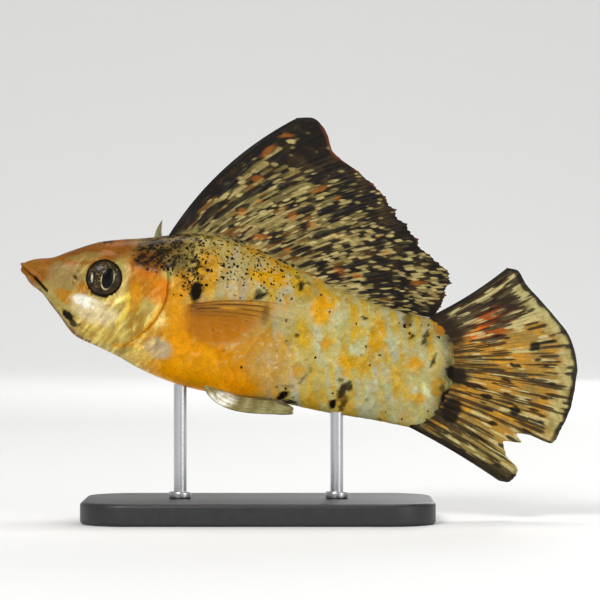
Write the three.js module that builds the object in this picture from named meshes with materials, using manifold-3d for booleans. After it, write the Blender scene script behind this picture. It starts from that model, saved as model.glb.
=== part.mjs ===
// A male sailfin molly, life size, as a still museum model on a plain display stand.
// Millimetres, +Z up. The origin is the middle of the stand's underside, the fish faces -X.
// The fish is shaped in a frame of its own, x back from the snout, z up from the snout, and then
// tipped nose up. Its body is made whole and parted with thin cuts.
import * as THREE from "three";
import { mergeVertices } from "three/addons/utils/BufferGeometryUtils.js";
import Module from "manifold-3d";

const wasm = await Module();
wasm.setup();

// Driving dimensions
const SNOUT_TO_TAIL_ROOT = 81.6;
const NOSE_UP = THREE.MathUtils.degToRad(14);
const GAP = 0.3;
const MEMBRANE = 0.5;
const RAY_RELIEF = 0.4;
const TAIL_CLEARANCE = 2.8;
const AROUND = 32;

// Body stations: x back from the snout, height of the back and belly, half of the width,
// height of the widest line, and how square the upper and lower halves of the section are
const STATIONS = [
  { x: 0, back: 0.45, belly: -0.3, half: 1.3, widest: 0, upper: 2.2, lower: 2.2 },
  { x: 1, back: 1.3, belly: -1.5, half: 2.15, widest: -0.1, upper: 2.3, lower: 2.2 },
  { x: 2.5, back: 2.1, belly: -2.9, half: 2.95, widest: -0.3, upper: 2.4, lower: 2.2 },
  { x: 5, back: 2.95, belly: -4.0, half: 3.8, widest: -0.8, upper: 2.6, lower: 2.2 },
  { x: 8, back: 4.9, belly: -6.4, half: 4.6, widest: -1.4, upper: 2.8, lower: 2.1 },
  { x: 13, back: 7.9, belly: -10.2, half: 5.6, widest: -2.0, upper: 2.8, lower: 2.0 },
  { x: 17, back: 9.4, belly: -11.0, half: 6.15, widest: -2.0, upper: 2.5, lower: 2.0 },
  { x: 21, back: 10.6, belly: -11.8, half: 6.6, widest: -1.8, upper: 2.2, lower: 2.1 },
  { x: 25, back: 12.1, belly: -12.9, half: 6.9, widest: -1.6, upper: 2.0, lower: 2.2 },
  { x: 30, back: 13.7, belly: -13.8, half: 7.1, widest: -1.4, upper: 1.9, lower: 2.2 },
  { x: 35, back: 14.1, belly: -14.2, half: 7.0, widest: -1.2, upper: 1.85, lower: 2.2 },
  { x: 42, back: 13.2, belly: -13.9, half: 6.4, widest: -1.0, upper: 1.85, lower: 2.1 },
  { x: 50, back: 11.5, belly: -12.9, half: 5.3, widest: -0.9, upper: 1.9, lower: 2.0 },
  { x: 60, back: 9.6, belly: -12.5, half: 4.0, widest: -1.1, upper: 1.9, lower: 1.9 },
  { x: 70, back: 8.7, belly: -11.7, half: 2.8, widest: -1.3, upper: 2.0, lower: 2.0 },
  { x: 76, back: 8.9, belly: -11.4, half: 1.9, widest: -1.3, upper: 2.0, lower: 2.0 },
  { x: 79, back: 7.3, belly: -10.0, half: 1.3, widest: -1.3, upper: 2.0, lower: 2.0 },
  { x: 80.8, back: 4.6, belly: -7.2, half: 0.95, widest: -1.3, upper: 2.0, lower: 2.0 },
  { x: 81.6, back: 1.6, belly: -4.2, half: 0.7, widest: -1.3, upper: 2.0, lower: 2.0 },
];
// Spans of the body with the number of rings in each
const RING_SPANS = [
  { from: 0, to: 6, rings: 7 },
  { from: 6, to: 22, rings: 11 },
  { from: 22, to: 74, rings: 13 },
  { from: 74, to: SNOUT_TO_TAIL_ROOT, rings: 7 },
];

// Head
const MOUTH = { corner: [5.9, -3.2], front: [-0.8, 0.25], lip: 0.42, gape: 0.3, chin: [8.0, -8.2] };
const GILL_EDGE = { x: 27.3, z: 1, bow: 4.6 };
const CHEEK_EDGE = { x: 21, z: -2, lowerBow: 3.5, upperBow: 7 };
const GILL_COVER = { top: 6.6, bottom: -9.3, rounded: 2.5, proud: 0.35, thick: 1.0 };
const EYE = { x: 15.6, z: 1.6, wide: 3.6, deep: 2.0, in: 0.92 };
const NOSTRIL = { x: 10.5, z: 0.45, radius: 0.5 };
const TAIL_STALK_FROM = 60;

// Fins: each outline is a list of [t, x, z], from the first ray at t 0 to the last at t 1
const DORSAL = {
  rays: 15,
  rootFrom: 24.9,
  rootTo: 66.5,
  tips: [
    [0, 42.4, 38.5], [0.04, 45.2, 39.2], [0.08, 48.2, 37.3], [0.12, 50.4, 34.0],
    [0.2, 55.0, 32.0], [0.315, 60.0, 29.5], [0.48, 66.0, 25.2], [0.63, 71.5, 20.5],
    [0.76, 77.2, 16.8], [0.88, 76.6, 13.8], [1, 76.0, 11.0],
  ],
  bow: [[0, 2.3], [0.2, 1.5], [0.5, 0.8], [1, 0.2]],
  frayed: [[0, 0.1], [0.3, 0.25], [0.45, 0.9], [0.85, 0.8], [1, 0.3]],
  sheath: 1.3,
  sway: 0.7,
};
const CAUDAL = {
  rays: 15,
  roots: [
    [0, 74.5, 9.0], [0.15, 78.0, 6.6], [0.35, 79.6, 3.0], [0.55, 79.9, -0.8],
    [0.75, 79.6, -4.8], [0.9, 78.4, -8.2], [1, 74.0, -11.0],
  ],
  tips: [
    [0, 87.3, 22.2], [0.08, 90.2, 19.3], [0.2, 95.5, 15.6], [0.32, 100.6, 11.3],
    [0.44, 103.2, 5.5], [0.56, 103.6, -0.2], [0.68, 102.9, -5.0], [0.742, 101.6, -8.1],
    [0.755, 98.4, -7.5], [0.77, 95.4, -7.9], [0.79, 96.5, -9.2], [0.825, 93.6, -9.9],
    [0.865, 94.3, -12.0], [0.91, 97.2, -14.3], [0.945, 96.9, -15.8], [1, 94.6, -17.2],
  ],
  bow: [[0, -0.5], [0.5, 0], [1, 0.4]],
  frayed: [[0, 0.1], [0.6, 0.1], [0.76, 0.5], [0.88, 0.5], [1, 0.1]],
  sheath: 1.2,
  sway: 1.6,
};
const PECTORAL = {
  rays: 12,
  root: { top: [30.9, 0.3], bottom: [31.8, -4.0] },
  folded: [
    [0, 52.6, 5.0], [0.12, 52.0, 3.4], [0.3, 50.2, 1.2], [0.5, 48.1, -1.4],
    [0.7, 45.6, -3.7], [0.85, 42.4, -5.2], [1, 38.4, -5.8],
  ],
  bow: [[0, 1.3], [0.5, 0.7], [1, 0.1]],
  lift: [[0, -0.9], [0.07, 0.95], [0.3, 1.5], [1, 3.4]],
  raisedFirst: [-8.2, 11.0, 15.6],
  raisedLast: [3.5, 13.5, -1.0],
  raisedBow: 2.0,
  sheath: 0.9,
};
const PELVIC = {
  rays: 6,
  root: { first: [38.6, -2.7], last: [41.8, -1.9] },
  tips: [[0, 54.8, -13.9], [0.35, 52.6, -13.7], [0.7, 48.8, -13.9], [1, 46.0, -14.2]],
  bow: [[0, -2.3], [0.5, -1.3], [1, -0.5]],
  drop: 1.0,
  spread: [[0, 3.3], [1, 1.75]],
  sheath: 0.8,
};
const GONOPODIUM = {
  path: [[45.4, -12.2], [46.3, -14.0], [48.8, -14.75], [52.5, -14.5], [56.2, -13.75]],
  radii: [0.85, 0.8, 0.62, 0.5, 0.3],
};

// Stand
const BASE = { long: 64, wide: 36, thick: 4, corner: 9, bevel: 0.7 };
const ROD = { radius: 1.2, front: 33.5, rear: 62.5, sides: 18 };

// Colours of the pieces
const PAINT = {
  head: [0xc98a2e, 0.35], jaw: [0xb3702c, 0.4], gillCover: [0xd9b45a, 0.28],
  eye: [0x241c12, 0.1], trunk: [0xd6a63a, 0.35], stalk: [0xb9b78d, 0.35],
  dorsal: [0x3a2f1c, 0.5], caudal: [0x8f7a3c, 0.5], paired: [0xc9a25a, 0.45],
  pelvic: [0xb9bda4, 0.4], rod: [0x9a9ea3, 0.3], base: [0x2b2b2d, 0.45],
};
const materials = Object.fromEntries(
  Object.entries(PAINT).map(([name, [color, roughness]]) => [
    name,
    new THREE.MeshStandardMaterial({ color, roughness, metalness: name === "rod" ? 0.9 : 0 }),
  ]),
);

// Curves
// A curve through a few [at, value] points that never overshoots them.
function smooth(points) {
  const step = [];
  const slope = [];
  for (let i = 0; i + 1 < points.length; i++) {
    step.push(points[i + 1][0] - points[i][0]);
    slope.push((points[i + 1][1] - points[i][1]) / step[i]);
  }
  const lean = points.map((_, i) => {
    if (i === 0) return slope[0];
    if (i === points.length - 1) return slope[i - 1];
    if (slope[i - 1] * slope[i] <= 0) return 0;
    const before = 2 * step[i] + step[i - 1];
    const after = step[i] + 2 * step[i - 1];
    return (before + after) / (before / slope[i - 1] + after / slope[i]);
  });
  return (at) => {
    const last = points.length - 2;
    let i = 0;
    while (i < last && at > points[i + 1][0]) i++;
    const f = THREE.MathUtils.clamp((at - points[i][0]) / step[i], 0, 1);
    const a = points[i][1];
    const b = points[i + 1][1];
    const bend = (1 - f) * (lean[i] * step[i] - (b - a)) - f * (lean[i + 1] * step[i] - (b - a));
    return a + f * (b - a) + f * (1 - f) * bend;
  };
}

// The x and z curves of an outline given as [t, x, z].
function outline(points) {
  const x = smooth(points.map(([t, px]) => [t, px]));
  const z = smooth(points.map(([t, , pz]) => [t, pz]));
  return (t) => [x(t), z(t)];
}

// Repeatable noise between -1 and 1 for a whole number.
function jitter(index) {
  const raw = Math.sin(index * 127.1 + 11.7) * 43758.5453;
  return 2 * (raw - Math.floor(raw)) - 1;
}

// Solids
function geometryFrom(positions, faces) {
  const geometry = new THREE.BufferGeometry();
  geometry.setAttribute("position", new THREE.Float32BufferAttribute(positions, 3));
  geometry.setIndex(faces);
  return geometry;
}

function solidFrom(geometry) {
  const bare = geometry.clone();
  bare.deleteAttribute("normal");
  bare.deleteAttribute("uv");
  const merged = mergeVertices(bare, 1e-4);
  return new wasm.Manifold(
    new wasm.Mesh({
      numProp: 3,
      vertProperties: new Float32Array(merged.attributes.position.array),
      triVerts: new Uint32Array(merged.index.array),
    }),
  );
}

// The largest closed piece of a solid.
function largest(solid) {
  return solid.decompose().sort((a, b) => b.volume() - a.volume())[0];
}

function meshFrom(name, solid, material) {
  const { numProp, vertProperties, triVerts, numVert } = solid.getMesh();
  const positions = [];
  for (let i = 0; i < numVert; i++) {
    positions.push(...vertProperties.slice(i * numProp, i * numProp + 3));
  }
  const mesh = new THREE.Mesh(geometryFrom(positions, Array.from(triVerts)), material);
  mesh.name = name;
  mesh.geometry.computeVertexNormals();
  return mesh;
}

// A closed skin over rings of points, each ring going round the same way, with flat ends.
function loft(rings) {
  const count = rings[0].length;
  const positions = rings.flat().flatMap((p) => [p.x, p.y, p.z]);
  const faces = [];
  for (let r = 0; r + 1 < rings.length; r++) {
    for (let k = 0; k < count; k++) {
      const a = r * count + k;
      const b = r * count + ((k + 1) % count);
      faces.push(a, b, a + count, b, b + count, a + count);
    }
  }
  for (const [ring, turn] of [[0, 1], [rings.length - 1, -1]]) {
    const middle = positions.length / 3;
    const centre = new THREE.Vector3();
    rings[ring].forEach((p) => centre.addScaledVector(p, 1 / count));
    positions.push(centre.x, centre.y, centre.z);
    for (let k = 0; k < count; k++) {
      const pair = [ring * count + k, ring * count + ((k + 1) % count)];
      faces.push(middle, ...(turn > 0 ? pair.reverse() : pair));
    }
  }
  return geometryFrom(positions, faces);
}

// A prism across the fish over a closed line of [x, z] points, from one y to another.
function prism(line, fromY, toY) {
  const shape = new THREE.Shape(line.map(([x, z]) => new THREE.Vector2(x, z)));
  const geometry = new THREE.ExtrudeGeometry(shape, { depth: toY - fromY, bevelEnabled: false });
  geometry.rotateX(Math.PI / 2);
  geometry.translate(0, toY, 0);
  return solidFrom(geometry);
}

// A thin cut across the fish along an open line of [x, z] points.
function slit(line, width, fromY = -20, toY = 20) {
  const points = line.map(([x, z]) => new THREE.Vector2(x, z));
  const side = points.map((p, i) => {
    const along = points[Math.min(i + 1, points.length - 1)].clone();
    along.sub(points[Math.max(i - 1, 0)]).normalize();
    return new THREE.Vector2(-along.y, along.x).multiplyScalar(width / 2);
  });
  const left = points.map((p, i) => [p.x + side[i].x, p.y + side[i].y]);
  const right = points.map((p, i) => [p.x - side[i].x, p.y - side[i].y]);
  return prism([...left, ...right.reverse()], fromY, toY);
}

// Body surface
const body = Object.fromEntries(
  Object.keys(STATIONS[0])
    .filter((key) => key !== "x")
    .map((key) => [key, smooth(STATIONS.map((s) => [s.x, s[key]]))]),
);

// The point of the body at x, a turn of 0 being the back and a quarter turn the left flank.
function bodyPoint(x, turn) {
  const up = Math.cos(turn * 2 * Math.PI);
  const side = Math.sin(turn * 2 * Math.PI);
  const power = 2 / (up >= 0 ? body.upper(x) : body.lower(x));
  const reach = up >= 0 ? body.back(x) - body.widest(x) : body.widest(x) - body.belly(x);
  return new THREE.Vector3(
    x,
    -Math.sign(side) * body.half(x) * Math.abs(side) ** power,
    body.widest(x) + Math.sign(up) * reach * Math.abs(up) ** power,
  );
}

// Half of the body's width at x and height z.
function flank(x, z) {
  const over = z - body.widest(x);
  const reach = over >= 0 ? body.back(x) - body.widest(x) : body.widest(x) - body.belly(x);
  const power = over >= 0 ? body.upper(x) : body.lower(x);
  const share = Math.min(Math.abs(over) / reach, 1);
  return body.half(x) * (1 - share ** power) ** (1 / power);
}

// The belly's height at x, at a distance y from the middle.
function bellyAt(x, y) {
  const share = Math.min(Math.abs(y) / body.half(x), 1);
  const drop = (1 - share ** body.lower(x)) ** (1 / body.lower(x));
  return body.widest(x) - (body.widest(x) - body.belly(x)) * drop;
}

// The whole body, its skin moved out by grow.
function bodySolid(grow = 0) {
  const stops = [0];
  for (const { from, to, rings } of RING_SPANS) {
    for (let i = 1; i <= rings; i++) stops.push(from + ((to - from) * i) / rings);
  }
  const rings = stops.map((x) =>
    Array.from({ length: AROUND }, (_, k) => bodyPoint(x, k / AROUND)),
  );
  const geometry = loft(rings);
  if (grow !== 0) {
    geometry.computeVertexNormals();
    const { position, normal } = geometry.attributes;
    for (let i = 0; i < position.count; i++) {
      position.setXYZ(
        i,
        position.getX(i) + grow * normal.getX(i),
        position.getY(i) + grow * normal.getY(i),
        position.getZ(i) + grow * normal.getZ(i),
      );
    }
  }
  return solidFrom(geometry);
}

// Head
function gillEdge(z) {
  return GILL_EDGE.x - ((z - GILL_EDGE.z) / GILL_EDGE.bow) ** 2;
}

function cheekEdge(z) {
  const bow = z < CHEEK_EDGE.z ? CHEEK_EDGE.lowerBow : CHEEK_EDGE.upperBow;
  return CHEEK_EDGE.x - ((z - CHEEK_EDGE.z) / bow) ** 2;
}

function heights(from, to, count) {
  return Array.from({ length: count + 1 }, (_, i) => from + ((to - from) * i) / count);
}

// The area of a gill cover, made wider all round by margin.
function gillCoverPrism(side, margin) {
  const top = GILL_COVER.top + margin;
  const levels = heights(GILL_COVER.bottom - margin, top, 12);
  const edges = levels.map((z) => {
    const front = cheekEdge(z) - margin;
    const rear = gillEdge(z) + margin - GAP / 2;
    const over = Math.max(z - GILL_COVER.rounded, 0) / (top - GILL_COVER.rounded);
    const half = ((rear - front) / 2) * Math.sqrt(1.04 - over ** 2);
    return [(front + rear) / 2 - half, (front + rear) / 2 + half];
  });
  const front = edges.map(([x], i) => [x, levels[i]]);
  const rear = edges.map(([, x], i) => [x, levels[i]]);
  const line = [...front, ...rear.reverse()];
  return side < 0 ? prism(line, -20, -1) : prism(line, 1, 20);
}

function mouthHeight(x) {
  const [cornerX, cornerZ] = MOUTH.corner;
  const [frontX, frontZ] = MOUTH.front;
  const share = (x - frontX) / (cornerX - frontX);
  return frontZ + (cornerZ - frontZ) * (0.75 * share + 0.25 * share ** 2);
}

// One lip: a rounded cord along the mouth from corner to corner, above or below the gape.
function lip(above) {
  const shift = above * (MOUTH.lip * 0.62 + MOUTH.gape / 2);
  const side = [5.2, 4.0, 2.6, 1.3, 0.5].map((x) => {
    const z = mouthHeight(x) + shift;
    return new THREE.Vector3(x, flank(x, z) - 0.12, z);
  });
  const tip = new THREE.Vector3(0.12, 0, mouthHeight(0) + shift);
  const mirrored = side.map((p) => new THREE.Vector3(p.x, -p.y, p.z)).reverse();
  const path = new THREE.CatmullRomCurve3([...side, tip, ...mirrored]);
  const section = new THREE.Shape().absarc(0, 0, MOUTH.lip, 0, 2 * Math.PI);
  const geometry = new THREE.ExtrudeGeometry(section, {
    steps: 20,
    curveSegments: 3,
    extrudePath: path,
  });
  return solidFrom(geometry);
}

function eyeball(side, grow = 0) {
  const ball = new THREE.SphereGeometry(1, 20, 12);
  ball.rotateX(Math.PI / 2);
  ball.scale(EYE.wide + grow, EYE.deep + grow, EYE.wide + grow);
  ball.translate(EYE.x, side * (flank(EYE.x, EYE.z) - EYE.in), EYE.z);
  return solidFrom(ball);
}

function nostril(side) {
  const pit = new THREE.SphereGeometry(NOSTRIL.radius, 8, 6);
  pit.translate(NOSTRIL.x, side * flank(NOSTRIL.x, NOSTRIL.z), NOSTRIL.z);
  return solidFrom(pit);
}

// Fins
// A closed sheet over a grid: across runs over the rays, along from the root to the margin.
// Both faces are split alike. middle(t, v) is a point, thickness(column, v) is in millimetres.
function sheet(columns, rows, middle, thickness) {
  const faceSize = columns.length * (rows + 1);
  const front = [];
  const rear = [];
  const nudge = 1e-3;
  columns.forEach((column) => {
    for (let r = 0; r <= rows; r++) {
      const v = r / rows;
      const at = middle(column.t, v * column.reach);
      const along = middle(column.t, v * column.reach + nudge).sub(at);
      const across = middle(Math.min(column.t + nudge, 1), v * column.reach);
      across.sub(middle(Math.max(column.t - nudge, 0), v * column.reach));
      const out = new THREE.Vector3().crossVectors(across, along).normalize();
      const half = thickness(column, v) / 2;
      front.push(at.clone().addScaledVector(out, half));
      rear.push(at.clone().addScaledVector(out, -half));
    }
  });
  const faces = [];
  const cell = (c, r) => c * (rows + 1) + r;
  for (let c = 0; c + 1 < columns.length; c++) {
    for (let r = 0; r < rows; r++) {
      const [a, b, d, e] = [cell(c, r), cell(c + 1, r), cell(c, r + 1), cell(c + 1, r + 1)];
      faces.push(a, b, e, a, e, d);
      faces.push(faceSize + a, faceSize + e, faceSize + b, faceSize + a, faceSize + d, faceSize + e);
    }
  }
  const rim = [];
  for (let c = 0; c < columns.length; c++) rim.push(cell(c, 0));
  for (let r = 1; r <= rows; r++) rim.push(cell(columns.length - 1, r));
  for (let c = columns.length - 2; c >= 0; c--) rim.push(cell(c, rows));
  for (let r = rows - 1; r > 0; r--) rim.push(cell(0, r));
  rim.forEach((a, i) => {
    const b = rim[(i + 1) % rim.length];
    faces.push(a, faceSize + a, b, b, faceSize + a, faceSize + b);
  });
  const positions = [...front, ...rear].flatMap((p) => [p.x, p.y, p.z]);
  const solid = solidFrom(geometryFrom(positions, faces));
  if (solid.volume() > 0) return solid;
  const turned = faces.map((_, i) => faces[i - (i % 3) + (2 - (i % 3))]);
  return solidFrom(geometryFrom(positions, turned));
}

// The grid columns of a fin: each ray's crest and its two sides, with a membrane between rays.
function rayColumns(rays, frayed = () => 0) {
  const columns = [];
  const pitch = 1 / (rays - 1);
  for (let k = 0; k < rays; k++) {
    const t = k * pitch;
    const torn = frayed(t) * (1 + 0.6 * jitter(k));
    const foot = 0.17 * pitch;
    if (k > 0) columns.push({ t: t - foot, crest: 0, torn });
    columns.push({ t, crest: 1, torn: 0 });
    if (k < rays - 1) columns.push({ t: t + foot, crest: 0, torn });
  }
  return columns;
}

// A fin's thickness: a sheath at its root, raised rays and a thin margin.
function finThickness(sheathWidth) {
  const sheath = smooth([[0, sheathWidth], [0.1, sheathWidth * 0.85], [0.22, MEMBRANE], [1, MEMBRANE]]);
  const ray = smooth([[0, RAY_RELIEF], [0.6, RAY_RELIEF * 0.8], [1, 0.05]]);
  const margin = smooth([[0, 1], [0.85, 1], [1, 0.6]]);
  return (column, v) => sheath(v) * margin(v) + column.crest * ray(v);
}

// A fin in the fish's middle plane, its rays from root(t) to tip(t), bowed and swaying to the side.
function middleFin(spec, root, tip, rows) {
  const bow = smooth(spec.bow);
  const frayed = smooth(spec.frayed);
  const middle = (t, v) => {
    const [ax, az] = root(t);
    const [bx, bz] = tip(t);
    const along = new THREE.Vector2(bx - ax, bz - az);
    const arch = (4 * v * (1 - v) * bow(t)) / along.length();
    const sideways = spec.sway * v ** 2 * Math.sin(5 * t + 2.2 * v);
    return new THREE.Vector3(
      ax + v * along.x - arch * along.y,
      sideways,
      az + v * along.y + arch * along.x,
    );
  };
  const columns = rayColumns(spec.rays, frayed).map((column) => {
    const [ax, az] = root(column.t);
    const [bx, bz] = tip(column.t);
    return { ...column, reach: 1 - column.torn / Math.hypot(bx - ax, bz - az) };
  });
  return sheet(columns, rows, middle, finThickness(spec.sheath));
}

function dorsalFin() {
  const rootX = (t) => DORSAL.rootFrom + (DORSAL.rootTo - DORSAL.rootFrom) * t;
  const root = (t) => [rootX(t) - 0.4, body.back(rootX(t)) - 1.1];
  return middleFin(DORSAL, root, outline(DORSAL.tips), 8);
}

function caudalFin() {
  return middleFin(CAUDAL, outline(CAUDAL.roots), outline(CAUDAL.tips), 7);
}

// The left pectoral fin, folded back along the flank.
function foldedPectoral() {
  const tip = outline(PECTORAL.folded);
  const bow = smooth(PECTORAL.bow);
  const lift = smooth(PECTORAL.lift);
  const { top, bottom } = PECTORAL.root;
  const middle = (t, v) => {
    const ax = top[0] + (bottom[0] - top[0]) * t;
    const az = top[1] + (bottom[1] - top[1]) * t;
    const [bx, bz] = tip(t);
    const x = ax + v * (bx - ax);
    const z = az + v * (bz - az) + 4 * v * (1 - v) * bow(t);
    return new THREE.Vector3(x, -(flank(x, z) + lift(v)), z);
  };
  const columns = rayColumns(PECTORAL.rays).map((column) => ({ ...column, reach: 1 }));
  return sheet(columns, 6, middle, finThickness(PECTORAL.sheath));
}

// The right pectoral fin, held up and out, so that its tip shows over the back.
function raisedPectoral() {
  const first = new THREE.Vector3(...PECTORAL.raisedFirst);
  const last = new THREE.Vector3(...PECTORAL.raisedLast);
  const { top, bottom } = PECTORAL.root;
  const lengths = smooth([[0, 1], [0.1, 0.93], [0.3, 0.86], [0.7, 0.74], [1, 0.55]]);
  const fan = new THREE.Vector3().crossVectors(first, last).normalize();
  const middle = (t, v) => {
    const ax = top[0] + (bottom[0] - top[0]) * t;
    const az = top[1] + (bottom[1] - top[1]) * t;
    const root = new THREE.Vector3(ax, flank(ax, az) - 0.9, az);
    const angle = first.angleTo(last) * t;
    const along = first.clone().normalize().applyAxisAngle(fan, angle);
    const forward = along.clone().cross(fan);
    const length = first.length() * lengths(t);
    return root
      .addScaledVector(along, length * v)
      .addScaledVector(forward, 4 * v * (1 - v) * PECTORAL.raisedBow * (1 - 0.7 * t))
      .addScaledVector(fan, -1.2 * Math.sin(Math.PI * t) * v);
  };
  const columns = rayColumns(PECTORAL.rays).map((column) => ({ ...column, reach: 1 }));
  return sheet(columns, 6, middle, finThickness(PECTORAL.sheath));
}

// A pelvic fin, folded back under the belly.
function pelvicFin(side) {
  const tip = outline(PELVIC.tips);
  const bow = smooth(PELVIC.bow);
  const spread = smooth(PELVIC.spread);
  const { first, last } = PELVIC.root;
  const middle = (t, v) => {
    const ax = first[0] + (last[0] - first[0]) * t;
    const ay = -first[1] + (first[1] - last[1]) * t;
    const az = bellyAt(ax, ay) + PELVIC.drop;
    const [bx, bz] = tip(t);
    const y = ay + (spread(t) - ay) * Math.min(3 * v, 1);
    const z = az + v * (bz - az) + 4 * v * (1 - v) * bow(t);
    return new THREE.Vector3(ax + v * (bx - ax), side * y, z);
  };
  const columns = rayColumns(PELVIC.rays).map((column) => ({ ...column, reach: 1 }));
  return sheet(columns, 6, middle, finThickness(PELVIC.sheath));
}

function gonopodium() {
  const path = new THREE.CatmullRomCurve3(
    GONOPODIUM.path.map(([x, z]) => new THREE.Vector3(x, 0, z)),
  );
  const steps = 14;
  const radius = smooth(GONOPODIUM.radii.map((r, i) => [i / (GONOPODIUM.radii.length - 1), r]));
  const rings = Array.from({ length: steps + 1 }, (_, i) => {
    const at = path.getPoint(i / steps);
    const along = path.getTangent(i / steps);
    const up = new THREE.Vector3(-along.z, 0, along.x);
    return Array.from({ length: 8 }, (_, k) => {
      const turn = (k / 8) * 2 * Math.PI;
      return at
        .clone()
        .addScaledVector(up, Math.cos(turn) * radius(i / steps))
        .add(new THREE.Vector3(0, -Math.sin(turn) * radius(i / steps), 0));
    });
  });
  return solidFrom(loft(rings));
}

// Parting the body
const plainBody = bodySolid();
const grownBody = bodySolid(GAP);
let flesh = plainBody.add(lip(1)).add(lip(-1));
for (const side of [-1, 1]) {
  flesh = flesh.subtract(eyeball(side, GAP)).subtract(nostril(side));
}
const coverCore = bodySolid(-GILL_COVER.thick);
const pocketCore = bodySolid(-GILL_COVER.thick - GAP);
const gillCovers = {};
for (const [name, side] of [["left", -1], ["right", 1]]) {
  const plate = bodySolid(GILL_COVER.proud).subtract(coverCore);
  gillCovers[name] = largest(plate.intersect(gillCoverPrism(side, 0)));
  const pocket = gillCoverPrism(side, GAP).subtract(pocketCore);
  flesh = flesh.subtract(pocket);
}

const mouthLine = heights(-2, MOUTH.corner[0], 8).map((x) => [x, mouthHeight(x)]);
const jawCut = slit([...mouthLine, MOUTH.chin], MOUTH.gape);
const headCut = slit(heights(-16, 16, 20).map((z) => [gillEdge(z), z]), GAP);
const stalkCut = slit([[TAIL_STALK_FROM, -20], [TAIL_STALK_FROM, 20]], GAP);
const pieces = flesh
  .subtract(jawCut)
  .subtract(headCut)
  .subtract(stalkCut)
  .decompose()
  .sort((a, b) => b.volume() - a.volume())
  .slice(0, 4)
  .sort((a, b) => a.boundingBox().max[0] - b.boundingBox().max[0]);
const [lowerJaw, head, trunk, tailStalk] = pieces;

// Placing the fish over its stand
const fish = new THREE.Group();
fish.rotation.y = NOSE_UP;
const inFish = [
  ["head", head, materials.head],
  ["lower_jaw", lowerJaw, materials.jaw],
  ["gill_cover_left", gillCovers.left, materials.gillCover],
  ["gill_cover_right", gillCovers.right, materials.gillCover],
  ["eye_left", eyeball(-1), materials.eye],
  ["eye_right", eyeball(1), materials.eye],
  ["trunk", trunk, materials.trunk],
  ["tail_stalk", tailStalk, materials.stalk],
  ["dorsal_fin", dorsalFin().subtract(grownBody), materials.dorsal],
  ["tail_fin", caudalFin().subtract(grownBody), materials.caudal],
  ["pectoral_fin_left", foldedPectoral().subtract(grownBody), materials.paired],
  ["pectoral_fin_right", raisedPectoral().subtract(grownBody), materials.paired],
  ["pelvic_fin_left", pelvicFin(-1).subtract(grownBody), materials.pelvic],
  ["pelvic_fin_right", pelvicFin(1).subtract(grownBody), materials.pelvic],
  ["gonopodium", gonopodium().subtract(grownBody), materials.pelvic],
];
for (const [name, solid, material] of inFish) fish.add(meshFrom(name, largest(solid), material));
fish.updateMatrixWorld(true);

// The fish's lowest point sets the height, and the rods set the base's place.
const reach = new THREE.Box3().setFromObject(fish, true);
const lift = BASE.thick + TAIL_CLEARANCE - reach.min.z;
const rodX = (x) => x * Math.cos(NOSE_UP) + bellyAt(x, 0) * Math.sin(NOSE_UP);
const middleX = (rodX(ROD.front) + rodX(ROD.rear)) / 2;
fish.position.set(-middleX, 0, lift);
fish.updateMatrixWorld(true);

function baseGeometry() {
  const long = BASE.long / 2 - BASE.bevel;
  const wide = BASE.wide / 2 - BASE.bevel;
  const corner = BASE.corner - BASE.bevel;
  const plan = new THREE.Shape();
  plan.absarc(long - corner, wide - corner, corner, 0, Math.PI / 2);
  plan.absarc(corner - long, wide - corner, corner, Math.PI / 2, Math.PI);
  plan.absarc(corner - long, corner - wide, corner, Math.PI, 1.5 * Math.PI);
  plan.absarc(long - corner, corner - wide, corner, 1.5 * Math.PI, 2 * Math.PI);
  const geometry = new THREE.ExtrudeGeometry(plan, {
    depth: BASE.thick - 2 * BASE.bevel,
    bevelThickness: BASE.bevel,
    bevelSize: BASE.bevel,
    bevelSegments: 1,
    curveSegments: 6,
  });
  geometry.translate(0, 0, BASE.bevel);
  return geometry;
}

// A rod from the base up to the fish, its top shaped to what it holds up.
function rodSolid(x, held) {
  const top = lift + 8;
  const rod = new THREE.CylinderGeometry(ROD.radius, ROD.radius, top, ROD.sides);
  rod.rotateX(Math.PI / 2);
  rod.translate(rodX(x) - middleX, 0, BASE.thick + GAP + top / 2);
  return solidFrom(rod).subtract(held);
}

const heldUp = grownBody.transform(fish.matrixWorld.toArray());
const belowFish = (solid) =>
  solid.decompose().sort((a, b) => a.boundingBox().min[2] - b.boundingBox().min[2])[0];

const root = new THREE.Group();
root.add(fish);
root.add(meshFrom("stand_base", solidFrom(baseGeometry()), materials.base));
for (const [name, x] of [["stand_rod_front", ROD.front], ["stand_rod_rear", ROD.rear]]) {
  root.add(meshFrom(name, belowFish(rodSolid(x, heldUp)), materials.rod));
}

export default root;
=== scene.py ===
"""The looks of a male sailfin molly, life size, on its display stand.

The fish is shaped in a frame of its own, in millimetres: x back from the snout, y to the fish's
right and z up. It is then tipped nose up and set where the eyes of the frame are.
"""
import math

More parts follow.
